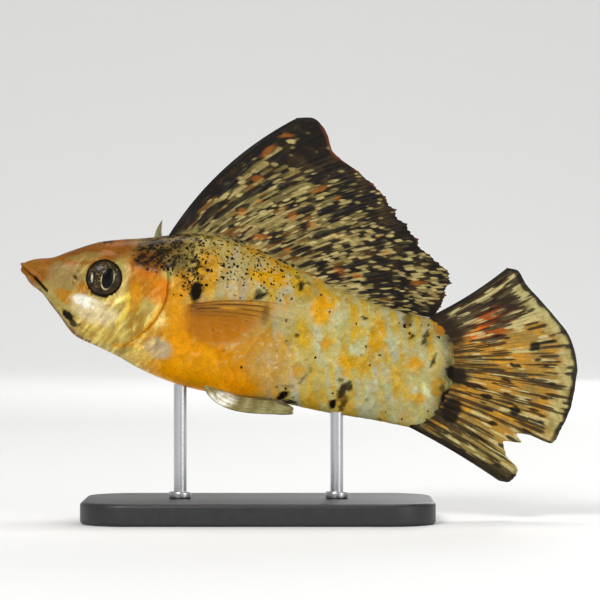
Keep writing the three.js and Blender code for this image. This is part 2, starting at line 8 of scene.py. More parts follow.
import bmesh
import bpy
import numpy as np
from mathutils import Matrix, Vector


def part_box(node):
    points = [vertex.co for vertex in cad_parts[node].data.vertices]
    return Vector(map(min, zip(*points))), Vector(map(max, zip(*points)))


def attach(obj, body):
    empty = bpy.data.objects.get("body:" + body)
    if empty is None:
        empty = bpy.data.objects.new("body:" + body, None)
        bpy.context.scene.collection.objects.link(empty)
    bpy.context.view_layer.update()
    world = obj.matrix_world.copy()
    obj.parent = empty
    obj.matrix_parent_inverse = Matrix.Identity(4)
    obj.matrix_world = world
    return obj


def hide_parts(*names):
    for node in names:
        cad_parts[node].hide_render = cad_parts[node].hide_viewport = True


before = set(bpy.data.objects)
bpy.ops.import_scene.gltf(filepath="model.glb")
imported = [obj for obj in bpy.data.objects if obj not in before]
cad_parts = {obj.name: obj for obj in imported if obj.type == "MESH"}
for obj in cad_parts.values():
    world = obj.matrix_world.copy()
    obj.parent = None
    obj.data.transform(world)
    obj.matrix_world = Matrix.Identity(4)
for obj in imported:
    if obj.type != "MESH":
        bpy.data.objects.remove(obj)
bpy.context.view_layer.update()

MM = 0.001
NOSE_UP = math.radians(14)
LEFT, RIGHT = -1, 1

# Body stations: x, height of the back and belly, half width, height of the widest line, and how
# square the upper and lower halves of the section are
STATIONS = [
    (0, 0.45, -0.3, 1.3, 0, 2.2, 2.2),
    (1, 1.3, -1.5, 2.15, -0.1, 2.3, 2.2),
    (2.5, 2.1, -2.9, 2.95, -0.3, 2.4, 2.2),
    (5, 2.95, -4.0, 3.8, -0.8, 2.6, 2.2),
    (8, 4.9, -6.4, 4.6, -1.4, 2.8, 2.1),
    (13, 7.9, -10.2, 5.6, -2.0, 2.8, 2.0),
    (17, 9.4, -11.0, 6.15, -2.0, 2.5, 2.0),
    (21, 10.6, -11.8, 6.6, -1.8, 2.2, 2.1),
    (25, 12.1, -12.9, 6.9, -1.6, 2.0, 2.2),
    (30, 13.7, -13.8, 7.1, -1.4, 1.9, 2.2),
    (35, 14.1, -14.2, 7.0, -1.2, 1.85, 2.2),
    (42, 13.2, -13.9, 6.4, -1.0, 1.85, 2.1),
    (50, 11.5, -12.9, 5.3, -0.9, 1.9, 2.0),
    (60, 9.6, -12.5, 4.0, -1.1, 1.9, 1.9),
    (70, 8.7, -11.7, 2.8, -1.3, 2.0, 2.0),
    (76, 8.9, -11.4, 1.9, -1.3, 2.0, 2.0),
    (79, 7.3, -10.0, 1.3, -1.3, 2.0, 2.0),
    (80.8, 4.6, -7.2, 0.95, -1.3, 2.0, 2.0),
    (81.6, 1.6, -4.2, 0.7, -1.3, 2.0, 2.0),
]
TAIL_ROOT = STATIONS[-1][0]
SKIN_IN = 0.12  # the skin lies this far inside the solids, under its scales

# Head
EYE = {"x": 15.6, "z": 1.6, "wide": 3.6, "deep": 2.0, "in": 0.92}
PUPIL = {"x": 16.3, "z": 1.7, "half_wide": 1.0, "half_high": 1.85}
MOUTH_FRONT, MOUTH_CORNER = (-0.8, 0.25), (5.9, -3.2)
MOUTH_SLIT = [(3.3, -1.35), (4.2, -2.0), MOUTH_CORNER]
JAW_LINE = [(6.4, -4.3), (9.5, -6.0), (13.5, -8.4), (17, -9.3)]
NOSTRILS = [(10.5, 0.5, 0.32), (10.25, -0.6, 0.16)]  # x, z and radius
GILL_EDGE = {"x": 27.3, "z": 1, "bow": 4.6}
CHEEK_EDGE = {"x": 21, "z": -2, "lower": 3.5, "upper": 7}

# Fins: an outline is (t, x, z) from the first ray, where t is 0, to the last, where it is 1
DORSAL = {
    "rays": 15, "root": (24.9, 66.5), "root_ahead": 0.4, "root_in": 1.1, "sheath": 1.3, "sway": 0.7,
    "tips": [
        (0, 42.4, 38.5), (0.04, 45.2, 39.2), (0.08, 48.2, 37.3), (0.12, 50.4, 34.0),
        (0.2, 55.0, 32.0), (0.315, 60.0, 29.5), (0.48, 66.0, 25.2), (0.63, 71.5, 20.5),
        (0.76, 77.2, 16.8), (0.88, 76.6, 12.9), (1, 75.8, 9.0),
    ],
    "bow": [(0, 2.3), (0.2, 1.5), (0.5, 0.8), (1, 0.2)],
    "frayed": [(0, 0.05), (0.2, 0.2), (0.42, 0.7), (0.85, 0.7), (1, 0.25)],
}
CAUDAL = {
    "rays": 15, "sheath": 1.2, "sway": 1.6,
    "roots": [
        (0, 74.5, 9.0), (0.15, 78.0, 6.6), (0.35, 79.6, 3.0), (0.55, 79.9, -0.8),
        (0.75, 79.6, -4.8), (0.9, 78.4, -8.2), (1, 74.0, -11.0),
    ],
    "tips": [
        (0, 86.3, 21.2), (0.03, 88.0, 21.3), (0.08, 90.2, 19.3), (0.2, 95.5, 15.6), (0.32, 100.6, 11.3),
        (0.44, 103.2, 5.5), (0.56, 103.6, -0.2), (0.68, 102.9, -5.0), (0.742, 101.6, -8.1),
        (0.755, 98.4, -7.5), (0.77, 95.4, -7.9), (0.79, 96.5, -9.2), (0.825, 93.6, -9.9),
        (0.865, 94.3, -12.0), (0.91, 97.2, -14.3), (0.94, 96.9, -15.8), (0.975, 96.0, -16.9),
        (1, 94.3, -17.0),
    ],
    "bow": [(0, -0.5), (0.5, 0), (1, 0.4)],
    "frayed": [(0, 0.05), (0.6, 0.08), (0.74, 0.3), (0.88, 0.4), (1, 0.1)],
}
PECTORAL = {
    "rays": 12, "sheath": 0.7, "top": (30.9, 0.3), "bottom": (31.8, -4.0), "root_in": 0.9,
    "folded": [
        (0, 52.6, 5.0), (0.12, 52.0, 3.4), (0.3, 50.2, 1.2), (0.5, 48.1, -1.4),
        (0.7, 45.6, -3.7), (0.85, 42.4, -5.2), (1, 38.4, -5.8),
    ],
    "bow": [(0, 1.3), (0.5, 0.7), (1, 0.1)],
    "lift": [(0, -0.9), (0.07, 0.95), (0.3, 1.5), (1, 3.4)],
    "raised_first": (-8.7, 11.0, 14.4), "raised_last": (3.5, 13.5, -1.0),
    "raised_lengths": [(0, 1), (0.05, 0.91), (0.1, 0.87), (0.3, 0.83), (0.7, 0.74), (1, 0.55)],
    "raised_bow": 2.0, "raised_hook": 2.5,
}
PELVIC = {
    "rays": 6, "sheath": 0.7, "first": (37.4, -2.7), "last": (41.8, -1.9), "drop": 1.0,
    "tips": [(0, 54.2, -14.3), (0.35, 54.6, -13.3), (0.7, 52.0, -12.7), (1, 46.5, -13.3)],
    "bow": [(0, -3.0), (0.5, -1.7), (1, -0.7)],
    "spread": [(0, 3.3), (1, 1.75)],
}
GONOPODIUM = {
    "path": [(45.4, -12.2), (46.3, -14.0), (48.8, -14.75), (52.0, -14.5), (54.8, -14.0)],
    "radii": [0.85, 0.8, 0.62, 0.5, 0.3],
}


# Curves and noise

def smooth(points):
    """A curve through a few (at, value) points that never overshoots them."""
    at, value = (np.array(column, float) for column in zip(*[(p[0], p[1]) for p in points]))
    step = np.diff(at)
    slope = np.diff(value) / step
    lean = np.zeros(len(at))
    lean[0], lean[-1] = slope[0], slope[-1]
    for i in range(1, len(at) - 1):
        if slope[i - 1] * slope[i] > 0:
            before, after = 2 * step[i] + step[i - 1], step[i] + 2 * step[i - 1]
            lean[i] = (before + after) / (before / slope[i - 1] + after / slope[i])

    def curve(x):
        x = np.asarray(x, float)
        i = np.clip(np.searchsorted(at, x, side="left") - 1, 0, len(step) - 1)
        f = np.clip((x - at[i]) / step[i], 0, 1)
        rise = value[i + 1] - value[i]
        bend = (1 - f) * (lean[i] * step[i] - rise) - f * (lean[i + 1] * step[i] - rise)
        return value[i] + f * rise + f * (1 - f) * bend

    return curve


def outline(points):
    """The x and z of an outline given as (t, x, z), as a function of t."""
    x = smooth([(t, px) for t, px, _ in points])
    z = smooth([(t, pz) for t, _, pz in points])

    def at(t):
        return x(t), z(t)

    return at


def ease(low, high, value):
    """0 below low and 1 above high, with a soft step between. High may be the lower one."""
    f = np.clip((np.asarray(value, float) - low) / (high - low), 0, 1)
    return f * f * (3 - 2 * f)


def mix(a, b, share):
    return a + (b - a) * share


def ridge(value, middle, width):
    """A soft bump: 1 where the value is at the middle, and near 0 two widths from it."""
    return np.exp(-((value - middle) / width) ** 2)


def draw(*whole, seed=0):
    """A repeatable number from 0 to 1 for each set of whole numbers."""
    n = np.int64(seed * 7919 + 17)
    for value, prime in zip(whole, (374761393, 668265263, 1274126177)):
        n = n + np.asarray(value).astype(np.int64) * prime
    n = n & 0xFFFFFFFF
    n = ((n ^ (n >> 13)) * 1274126177) & 0xFFFFFFFF
    n = ((n ^ (n >> 15)) * 668265263) & 0xFFFFFFFF
    return ((n ^ (n >> 16)) & 0xFFFFFF) / float(0xFFFFFF)


def cloud(points, size, seed=0):
    """Soft noise from -1 to 1 over points of one to three columns, with lumps of that size."""
    p = np.asarray(points, float) / size
    cell = np.floor(p).astype(np.int64)
    f = p - cell
    f = f * f * (3 - 2 * f)
    total = 0.0
    columns = p.shape[-1]
    for corner in range(2 ** columns):
        step = [(corner >> c) & 1 for c in range(columns)]
        weight = 1.0
        for c in range(columns):
            weight = weight * (f[..., c] if step[c] else 1 - f[..., c])
        total = total + weight * draw(*[cell[..., c] + step[c] for c in range(columns)], seed=seed)
    return 2 * total - 1


def clouds(points, size, seed=0):
    """Soft noise with finer noise over it."""
    p = np.asarray(points, float)
    fine = cloud(p, size / 2.1, seed + 1) * 0.3 + cloud(p, size / 4.3, seed + 2) * 0.15
    return cloud(p, size, seed) * 0.6 + fine


def dots(points, pitch, share, radius, seed=0):
    """Scattered round dots: how deep each point is inside one, 0 to 1. Share is how many of the
    places hold a dot, and radius is in parts of the pitch."""
    p = np.asarray(points, float) / pitch
    cell = np.floor(p).astype(np.int64)
    found = np.zeros(len(p))
    for dx in (-1, 0, 1):
        for dz in (-1, 0, 1):
            i, j = cell[:, 0] + dx, cell[:, 1] + dz
            cx = i + 0.15 + 0.7 * draw(i, j, seed=seed + 1)
            cz = j + 0.15 + 0.7 * draw(i, j, seed=seed + 2)
            r = radius * (0.55 + 0.9 * draw(i, j, seed=seed + 3))
            stretch = 0.75 + 0.5 * draw(i, j, seed=seed + 4)
            d = np.hypot((p[:, 0] - cx) * stretch, (p[:, 1] - cz) / stretch)
            there = draw(i, j, seed=seed) < share
            found = np.maximum(found, there * ease(r * 1.25, r * 0.7, d))
    return found


def from_line(x, z, points):
    """How far each point is from a line through [x, z] points."""
    best = np.full(np.shape(x), 1e9)
    for (ax, az), (bx, bz) in zip(points, points[1:]):
        along = ((x - ax) * (bx - ax) + (z - az) * (bz - az)) / ((bx - ax) ** 2 + (bz - az) ** 2)
        along = np.clip(along, 0, 1)
        best = np.minimum(best, np.hypot(x - ax - along * (bx - ax), z - az - along * (bz - az)))
    return best


# Body surface

BACK, BELLY, HALF, WIDEST, UPPER, LOWER = (
    smooth([(row[0], row[column]) for row in STATIONS]) for column in range(1, 7)
)


def body_point(x, turn):
    """The point of the body at x: a turn of 0 is the back, 0.25 the left flank, 0.5 the belly."""
    up, side = np.cos(turn * 2 * np.pi), np.sin(turn * 2 * np.pi)
    power = 2 / np.where(up >= 0, UPPER(x), LOWER(x))
    reach = np.where(up >= 0, BACK(x) - WIDEST(x), WIDEST(x) - BELLY(x))
    y = -np.sign(side) * HALF(x) * np.abs(side) ** power
    z = WIDEST(x) + np.sign(up) * reach * np.abs(up) ** power
    return np.stack([x + 0 * turn, y, z], -1)


def flank(x, z):
    """Half of the body's width at x and height z."""
    over = z - WIDEST(x)
    reach = np.where(over >= 0, BACK(x) - WIDEST(x), WIDEST(x) - BELLY(x))
    power = np.where(over >= 0, UPPER(x), LOWER(x))
    share = np.minimum(np.abs(over) / reach, 1)
    return HALF(x) * (1 - share ** power) ** (1 / power)


def belly_at(x, y):
    share = np.minimum(np.abs(y) / HALF(x), 1)
    return WIDEST(x) - (WIDEST(x) - BELLY(x)) * (1 - share ** LOWER(x)) ** (1 / LOWER(x))


def gill_edge(z):
    return GILL_EDGE["x"] - ((z - GILL_EDGE["z"]) / GILL_EDGE["bow"]) ** 2


def cheek_edge(z):
    bow = np.where(z < CHEEK_EDGE["z"], CHEEK_EDGE["lower"], CHEEK_EDGE["upper"])
    return CHEEK_EDGE["x"] - ((z - CHEEK_EDGE["z"]) / bow) ** 2


def mouth_height(x):
    share = (x - MOUTH_FRONT[0]) / (MOUTH_CORNER[0] - MOUTH_FRONT[0])
    return MOUTH_FRONT[1] + (MOUTH_CORNER[1] - MOUTH_FRONT[1]) * (0.75 * share + 0.25 * share ** 2)


# Placing in the frame

eye_middle = (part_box("eye_left")[0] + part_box("eye_left")[1]) / 2 / MM
SNOUT_X = eye_middle.x - (EYE["x"] * math.cos(NOSE_UP) + EYE["z"] * math.sin(NOSE_UP))
SNOUT_Z = eye_middle.z - (EYE["z"] * math.cos(NOSE_UP) - EYE["x"] * math.sin(NOSE_UP))


def placed(points):
    """Points of the fish, in millimetres, as metres in the frame."""
    x, y, z = np.asarray(points, float).reshape(-1, 3).T
    ahead = x * math.cos(NOSE_UP) + z * math.sin(NOSE_UP) + SNOUT_X
    above = z * math.cos(NOSE_UP) - x * math.sin(NOSE_UP) + SNOUT_Z
    return np.column_stack([ahead, y, above]) * MM


# Making pieces

def linear(colour):
    """A screen colour of 0 to 255 as the renderer's own numbers."""
    c = np.asarray(colour, float) / 255
    return np.where(c <= 0.04045, c / 12.92, ((c + 0.055) / 1.055) ** 2.4)


def lay(colour, tone, share):
    """The colours of many points with a screen colour laid over each by its share."""
    return mix(colour, linear(tone), share[:, None])


def between(first, second, share):
    """A colour for each point, by its share of the way from one screen colour to another."""
    return mix(linear(first), linear(second), share[:, None])


def inset(share):
    """A share of the unwrap's width, kept clear of its rim."""
    return share * 0.96 + 0.02


def in_scene(name, data):
    """A new object of the scene that shows a mesh, a light or a camera."""
    made = bpy.data.objects.new(name, data)
    bpy.context.scene.collection.objects.link(made)
    return made


def piece(name, points, faces, node_names, slot, material, unwrap=None, **painted):
    """Makes a piece of the fish from points in its own millimetres and whole-number faces, with
    values painted on its points."""
    mesh = bpy.data.meshes.new(name)
    mesh.from_pydata(placed(points).tolist(), [], [tuple(f) for f in faces])
    mesh.validate()
    if unwrap is not None:
        layer = mesh.uv_layers.new(name="OFBake")
        corners = np.zeros(len(mesh.loops), np.int32)
        mesh.loops.foreach_get("vertex_index", corners)
        layer.data.foreach_set("uv", np.asarray(unwrap, np.float32)[corners].ravel())
    for key, value in painted.items():
        if np.ndim(value) == 2:
            layer = mesh.color_attributes.new(key, "FLOAT_COLOR", "POINT")
            full = np.column_stack([value, np.ones(len(value))]).astype(np.float32)
            layer.data.foreach_set("color", full.ravel())
        else:
            layer = mesh.attributes.new(key, "FLOAT", "POINT")
            layer.data.foreach_set("value", np.asarray(value, np.float32))
    mesh.polygons.foreach_set("use_smooth", np.ones(len(mesh.polygons), bool))
    mesh.set_sharp_from_angle(angle=math.radians(50))
    mesh.materials.append(material)
    hand_over(in_scene(name, mesh), node_names)


def hand_over(made, node_names):
    """Sets a piece to ride on the root, and hides the solids that it stands for."""
    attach(made, "root")
    if node_names:
        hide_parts(*node_names)


def grid_faces(columns, rows, first=0, flip=False, closed=False):
    """The squares of a grid whose points run row by row inside each column."""
    wide = columns if closed else columns - 1
    c, r = np.meshgrid(np.arange(wide), np.arange(rows - 1), indexing="ij")
    a = c * rows + r
    b = ((c + 1) % columns) * rows + r
    faces = np.stack([a, b, b + 1, a + 1], -1).reshape(-1, 4) + first
    return faces[:, ::-1] if flip else faces


def rim_faces(columns, rows):
    """The narrow wall that joins two grids of the same size, one after the other, round their edge."""
    edge = [c * rows for c in range(columns)]
    edge += [(columns - 1) * rows + r for r in range(1, rows)]
    edge += [c * rows + rows - 1 for c in range(columns - 2, -1, -1)]
    edge += list(range(rows - 2, 0, -1))
    per = columns * rows
    return np.array([(a, a + per, b + per, b) for a, b in zip(edge, edge[1:] + edge[:1])])


def plate_faces(columns, rows):
    """The faces of a thin closed plate: a grid of points, then the same grid under it."""
    upper = grid_faces(columns, rows)
    lower = grid_faces(columns, rows, first=columns * rows, flip=True)
    return np.concatenate([upper, lower, rim_faces(columns, rows)])


def normals_of(grid, closed=False):
    """The outward normal at each point of a grid of points."""
    if closed:
        across = np.roll(grid, -1, 0) - np.roll(grid, 1, 0)
    else:
        across = np.gradient(grid, axis=0)
    along = np.gradient(grid, axis=1)
    normal = np.cross(across, along)
    return normal / np.maximum(np.linalg.norm(normal, axis=-1, keepdims=True), 1e-9)


# Markings, in the fish's own side view

ORANGE, GOLD, AMBER = (214, 142, 0), (208, 158, 8), (174, 104, 2)
PEARL, SILVER = (184, 184, 142), (246, 240, 222)
OLIVE, BROWN, INK = (156, 116, 36), (74, 48, 16), (20, 12, 4)

# Soft patches: x, z, half length, half height, lean in degrees, colour, strength
PATCHES = [
    (38, -8.5, 13, 7.5, 5, ORANGE, 1),
    (36, -1.5, 8, 4, 10, (200, 127, 4), 0.85),
    (47, -5, 5, 5, 0, (198, 142, 29), 0.7),
    (50, -6.5, 5.5, 4.5, 0, (180, 156, 92), 0.6),
    (36, 9, 6, 4.5, 0, (176, 152, 78), 0.6),
    (33.6, 7, 2.2, 4.2, 10, (196, 140, 10), 0.85),
    (38.8, 7.2, 2.3, 4.8, 15, (176, 168, 132), 0.85),
    (48.3, 5.0, 1.7, 3.6, 10, (178, 172, 136), 0.8),
    (44.5, 9, 3.8, 1.7, 0, GOLD, 0.95),
    (43, 12.6, 5, 0.9, -14, (192, 142, 22), 0.7),
    (55.2, 5.6, 2.1, 2.8, 0, (212, 156, 14), 0.95),
    (66.3, 3.4, 1.6, 2.6, 0, GOLD, 0.85),
    (65.8, -0.6, 1.4, 2.4, 5, (188, 146, 33), 0.7),
    (62.0, -2.6, 2.3, 0.9, 0, GOLD, 0.9),
    (62.3, -4.3, 0.8, 1.2, 0, GOLD, 0.8),
    (62.6, 3.3, 1.4, 1.2, 0, (198, 167, 42), 0.75),
    (74.0, 0.0, 1.6, 1.5, 0, (208, 152, 18), 0.85),
    (76.0, -6.0, 1.7, 1.2, 15, (206, 156, 24), 0.8),
    (57.2, -0.3, 0.8, 0.9, 0, (207, 152, 24), 0.8),
    (53.4, -6.3, 1.1, 1.0, 0, (200, 148, 42), 0.6),
    (52.0, 0.5, 1.2, 3.0, 8, (194, 167, 46), 0.5),
    (79.2, -3.0, 1.4, 1.6, 0, (196, 150, 34), 0.7),
    (77.0, 7.6, 0.9, 1.6, 10, (198, 116, 13), 0.9),
    (48.6, 5.2, 0.9, 1.6, 10, (200, 144, 24), 0.7),
    (58.5, 4.4, 1.5, 3.4, 0, PEARL, 0.7),
    (63.1, 0.1, 1.4, 1.2, 0, (190, 196, 156), 0.75),
    (69.0, 3.2, 1.2, 1.6, 0, PEARL, 0.75),
    (39.0, 5.4, 2.4, 2.2, 20, (190, 167, 124), 0.65),
    (41.5, 11.0, 3, 1.3, 0, (184, 169, 107), 0.6),
    (75.0, -9.0, 5.5, 2.4, 0, (164, 164, 116), 0.6),
    (77.2, -3.9, 1.4, 0.8, -50, (208, 214, 166), 0.8),
    (28.2, -8.4, 2.5, 1.9, 0, (180, 164, 132), 0.9),
    (2, 0, 4.6, 3.2, 15, (150, 92, 22), 0.95),
    (12, 6, 9, 2.8, 20, (142, 80, 10), 0.95),
    (11.2, 4.4, 3.4, 0.8, 20, (156, 136, 74), 0.6),
    (9, 0.4, 3.5, 2.5, 0, (148, 120, 74), 0.8),
    (7.6, -1.6, 2.0, 1.4, 0, (171, 142, 85), 0.6),
    (8.6, 2.8, 1.5, 0.6, 0, (156, 92, 26), 0.5),
    (12.8, -1.4, 1.8, 1.3, -20, (170, 106, 18), 0.85),
    (9.9, -3.3, 2.4, 1.3, -15, (186, 124, 20), 0.85),
    (17, -7.6, 4.2, 2.4, 0, (206, 176, 84), 0.8),
    (15.5, -4.6, 4.6, 2.2, -8, (220, 202, 156), 0.9),
    (23.5, 2.5, 3.6, 2.9, 0, AMBER, 0.95),
    (22.2, 6.0, 3.4, 2.3, 10, (180, 98, 2), 0.85),
    (26.2, 1.6, 1.6, 2.4, 0, (200, 112, 0), 0.9),
    (21.9, -0.8, 1.3, 2.8, 5, (200, 134, 8), 0.8),
    (23.2, -5.2, 1.7, 3.2, 14, OLIVE, 0.75),
    (29.0, -1.6, 1.6, 4.4, 4, (212, 142, 6), 0.85),
    (29.6, 3.6, 2.0, 3.0, 0, (200, 132, 8), 0.85),
    (27.0, -3.0, 1.1, 2.4, 12, (237, 212, 127), 0.9),
    (28.3, -5.0, 1.3, 0.9, 0, (217, 142, 15), 0.8),
    (24.6, -10.6, 3.0, 0.9, 22, (210, 178, 89), 0.75),
    (13.5, -3.4, 2.7, 1.0, -7, SILVER, 1),
    (16.3, -3.9, 2.2, 0.8, -12, (219, 203, 154), 0.8),
    (5.2, -3.6, 1.5, 0.3, 28, (200, 171, 108), 0.6),
]
# Lines: colour, half width, strength, and the points they run through
LINES = [
    ((206, 176, 112), 0.6, 0.8, [(19.2, 4.6), (19.5, 1.5), (19.0, -1.5), (17.4, -3.4)]),
    ((237, 207, 81), 0.4, 0.9, [(20.4, -0.4), (21.0, -2.5), (20.6, -4.4), (19.6, -6)]),
    ((219, 154, 17), 0.55, 0.85, [(27.0, -1), (26.3, -3.5), (25.0, -6.4), (23.2, -8.8), (20.5, -9.8)]),
    ((108, 44, 18), 0.55, 0.9, [(4.4, -3.8), (8.0, -6.4), (11, -8.7), (13, -10.2), (16.4, -10.9)]),
]
# Black marks: x, z, half length, half height, lean in degrees, strength
BLACK_MARKS = [
    (32.3, 3.2, 1.15, 1.9, 0, 1), (32.7, 0.7, 0.6, 0.8, 0, 0.7),
    (43.9, 5.3, 1.3, 0.55, 32, 0.95), (43.3, 5.9, 0.6, 0.5, 0, 0.8),
    (50.5, 8.7, 0.5, 0.85, 0, 0.95), (49.5, 10.2, 0.6, 0.35, 0, 0.8), (51.7, 9.6, 0.5, 0.3, 30, 0.7),
    (62.3, -8.0, 0.8, 1.7, -12, 0.95), (61.3, -10.6, 0.85, 0.9, 0, 1), (63.4, -6.6, 0.65, 1.1, 10, 0.9),
    (63.2, -10.4, 0.55, 1.2, -14, 0.85), (61.6, -6.0, 0.55, 0.4, 0, 0.8), (62.9, -9.2, 0.9, 0.8, 0, 0.7),
    (70.9, 7.5, 0.9, 1.5, 10, 0.6), (72.3, 4.7, 0.3, 0.6, -20, 0.9), (63.1, 5.8, 0.5, 0.4, 0, 0.9),
    (74.6, 5.2, 0.45, 1.5, -8, 0.85), (75.2, 4.2, 0.4, 0.7, 0, 0.6), (77.1, 1.4, 0.25, 1.6, -8, 0.9),
    (52.0, -0.1, 0.2, 0.4, 0, 0.9), (64.2, -0.8, 0.35, 0.25, 0, 0.6),
    (14.4, 8.2, 1.0, 0.5, 18, 0.85), (10.5, 0.5, 0.38, 0.3, 0, 0.85), (10.3, -0.6, 0.15, 0.15, 0, 0.7),
    (10.8, -6.5, 1.2, 0.62, -32, 1), (12.0, -7.6, 0.9, 0.5, -35, 0.9), (13.1, -7.7, 0.7, 0.2, 20, 0.7),
    (51.9, -11.3, 1.3, 0.6, 42, 1), (53.6, -12.2, 1.5, 0.35, -5, 0.95),
    (81.2, 0.2, 1.4, 1.4, 0, 1), (81.4, -5.6, 1.2, 2.8, 0, 1), (80.2, -3.2, 0.5, 1.0, 20, 0.7),
    (55.6, -5.4, 0.3, 0.7, 20, 0.5), (49.4, -6.2, 0.3, 0.25, 0, 0.5), (67.1, -8.3, 0.3, 0.3, 0, 0.6),
    (70.5, -11.2, 0.4, 0.35, 0, 0.7), (40, -5.8, 0.12, 0.4, 0, 0.5),
]
VENT_LINE = [(51, -9.6), (53.6, -9.2), (54.9, -8.0), (55.2, -6.4), (54.7, -4)]


def ellipse(x, z, cx, cz, half_x, half_z, lean):
    """How many half sizes each point lies from the middle of a leaning ellipse."""
    c, s = math.cos(math.radians(lean)), math.sin(math.radians(lean))
    dx, dz = x - cx, z - cz
    return np.hypot((dx * c + dz * s) / half_x, (dz * c - dx * s) / half_z)


def paint(x, y, z, round_back):
    """The colour of the fish's skin at each point, with painted shade and painted light in it, how
    pearly it is and how thickly the small black specks lie. round_back is how far each point lies
    from the middle of the back, measured over the skin."""
    side = np.where(y > 0, RIGHT, LEFT)
    both = np.column_stack([x, side * round_back])
    off = (side > 0) * 1.5
    px = x + off * cloud(both, 7, 3) + 0.35 * clouds(both, 1.6, 5)
    pz = z + off * cloud(both, 6, 4) + 0.35 * clouds(both, 1.6, 6)

    colour = np.tile(linear((180, 160, 84)), (len(x), 1))
    colour = lay(colour, (184, 174, 106), ease(50, 62, x))
    colour = lay(colour, (170, 146, 70), ease(4, 11, z) * ease(28, 34, x) * 0.8)
    lean = np.column_stack([(x - 0.35 * round_back) / 0.95, side * round_back / 4.2])
    streak = cloud(lean, 1, 21)
    body = ease(30, 38, x) * ease(81, 78, x)
    colour = lay(colour, (206, 162, 22), ease(0.05, 0.6, streak) * 0.75 * body)
    colour = lay(colour, (182, 180, 140), ease(0.0, 0.55, -streak) * 0.9 * body)
    for *place, tone, strength in PATCHES:
        colour = lay(colour, tone, strength * ease(1.28, 0.72, ellipse(px, pz, *place)))
    for tone, half, strength, points in LINES:
        colour = lay(colour, tone, strength * ease(half * 1.5, half * 0.5, from_line(px, pz, points)))

    # Gold and silver flecks that fan out over the cheek and gill cover, and finer ones behind
    fan = np.column_stack([(x * 0.5 + z * 0.87) / 2.2, (z * 0.5 - x * 0.87) / 0.5 + side * 40])
    fleck = clouds(fan, 1, 33)
    warm_cover = ease(1.35, 0.8, ellipse(x, z, 23.8, 2.0, 4.0, 4.2, 0))
    under_eye = ease(1.3, 0.7, ellipse(x, z, 14.2, -3.6, 3.6, 1.5, -8))
    plain = (1 - 0.75 * warm_cover) * (1 - 0.8 * under_eye)
    cheek = ease(9, 13, x) * ease(30, 27, x) * ease(5.5, 2.0, z) * plain
    colour = lay(colour, (242, 218, 120), 0.7 * ease(0.08, 0.42, fleck) * cheek)
    colour = lay(colour, (150, 104, 34), 0.55 * ease(0.12, 0.5, -fleck) * cheek)
    grain = clouds(both, 0.7, 35)
    colour = lay(colour, (204, 202, 160), 0.5 * ease(0.25, 0.6, grain) * body * ease(-11, -5, z))
    colour = lay(colour, (198, 148, 18), 0.5 * ease(0.2, 0.55, -grain) * body)
    # A multiplier over the colour: darker snout, rear, upper back, tail root and top of the tail stalk,
    # with random mottling over all.
    shade = 1 - 0.2 * ease(14, 8, x) - 0.13 * ease(54, 66, x)
    shade = shade - 0.14 * ease(2, 9, z) * ease(28, 34, x) * ease(60, 50, x)
    # Painted shade on the top of the head, and painted light on the lower belly.
    shade = shade - 0.26 * ease(2.5, 6.5, z) * ease(27, 22, x) + 0.28 * ease(-9, -13, z) * ease(22, 28, x)
    shade = shade - 0.3 * ease(77, 80.5, x) - 0.18 * ease(66, 74, x) * ease(3, 7, z)
    colour = colour * (shade * (1 + 0.22 * clouds(both, 0.8, 31)))[:, None]

    # Brown-black nape, marks, and how thickly the small black specks lie
    nape = ease(19.2, 20.8, px) * ease(31.5, 27.0, px) * ease(4.4, 6.6, pz)
    colour = lay(colour, BROWN, 0.8 * nape)
    fringe = ease(28.0, 30.0, px) * ease(35, 31.5, px) * ease(1.2, 4.5, pz)
    back = ease(26, 30, px) * ease(56, 42, px) * ease(2.5, 9.0, pz)
    top = ease(4.5, 0.8, round_back) * ease(26, 30, px) * ease(56, 44, px)
    all_over = ease(33, 40, x) * ease(81, 76, x) * (0.3 + 0.7 * ease(-5, 8, z))
    speckle = np.maximum.reduce([0.95 * nape, 0.9 * fringe, 0.62 * back, 0.7 * top, 0.03 * all_over])
    tail_root = ease(76.6, 79.2, px) * ease(3.0, 6.2, pz)
    vent = ease(0.26, 0.1, from_line(px, pz, VENT_LINE))
    blacks = [
        nape * 0.92 * ease(-0.12, 0.12, clouds(both, 0.8, 43)),
        fringe * 0.9 * ease(0.0, 0.25, clouds(both, 0.7, 44)) * ease(1, 6, pz),
        0.85 * tail_root * ease(-0.5, 0.3, clouds(both, 1.5, 53)),
        0.62 * ease(78.2, 80.6, px) * ease(-0.6, 0.2, clouds(both, 1.0, 54)),
        0.95 * ease(0.4, 0.2, from_line(x, z, MOUTH_SLIT)),
        0.55 * vent * ease(-0.4, 0.2, cloud(np.column_stack([x, round_back]), 0.7, 59)),
    ]
    ragged_x, ragged_z = px + 0.22 * clouds(both, 0.5, 55), pz + 0.22 * clouds(both, 0.5, 57)
    for *place, strength in BLACK_MARKS:
        blacks.append(strength * ease(1.2, 0.85, ellipse(ragged_x, ragged_z, *place)))
    black = np.clip(np.maximum.reduce(blacks), 0, 1)
    colour = lay(colour, INK, black)
    pearl = np.clip((1 - black) * (0.25 + 0.75 * ease(0.18, 0.6, colour.mean(1))), 0, 1)
    return colour, pearl, speckle


# Skin

SKIN_AROUND = 176  # points in each ring of the skin
SKIN_RINGS = [(0, 6.5, 74), (6.5, 29, 140), (29, 74, 196), (74, TAIL_ROOT, 46)]  # from x to x, rings
SKIN_ENDS = [(0, -0.25), (-1, 0.3)]  # the first and last ring, and how far their ends bulge


def rows_between(*spans):
    """Evenly spaced values over each (from, to, count) span, run together."""
    parts = [np.linspace(a, b, count, endpoint=False) for a, b, count in spans]
    return np.concatenate([*parts, [spans[-1][1]]])


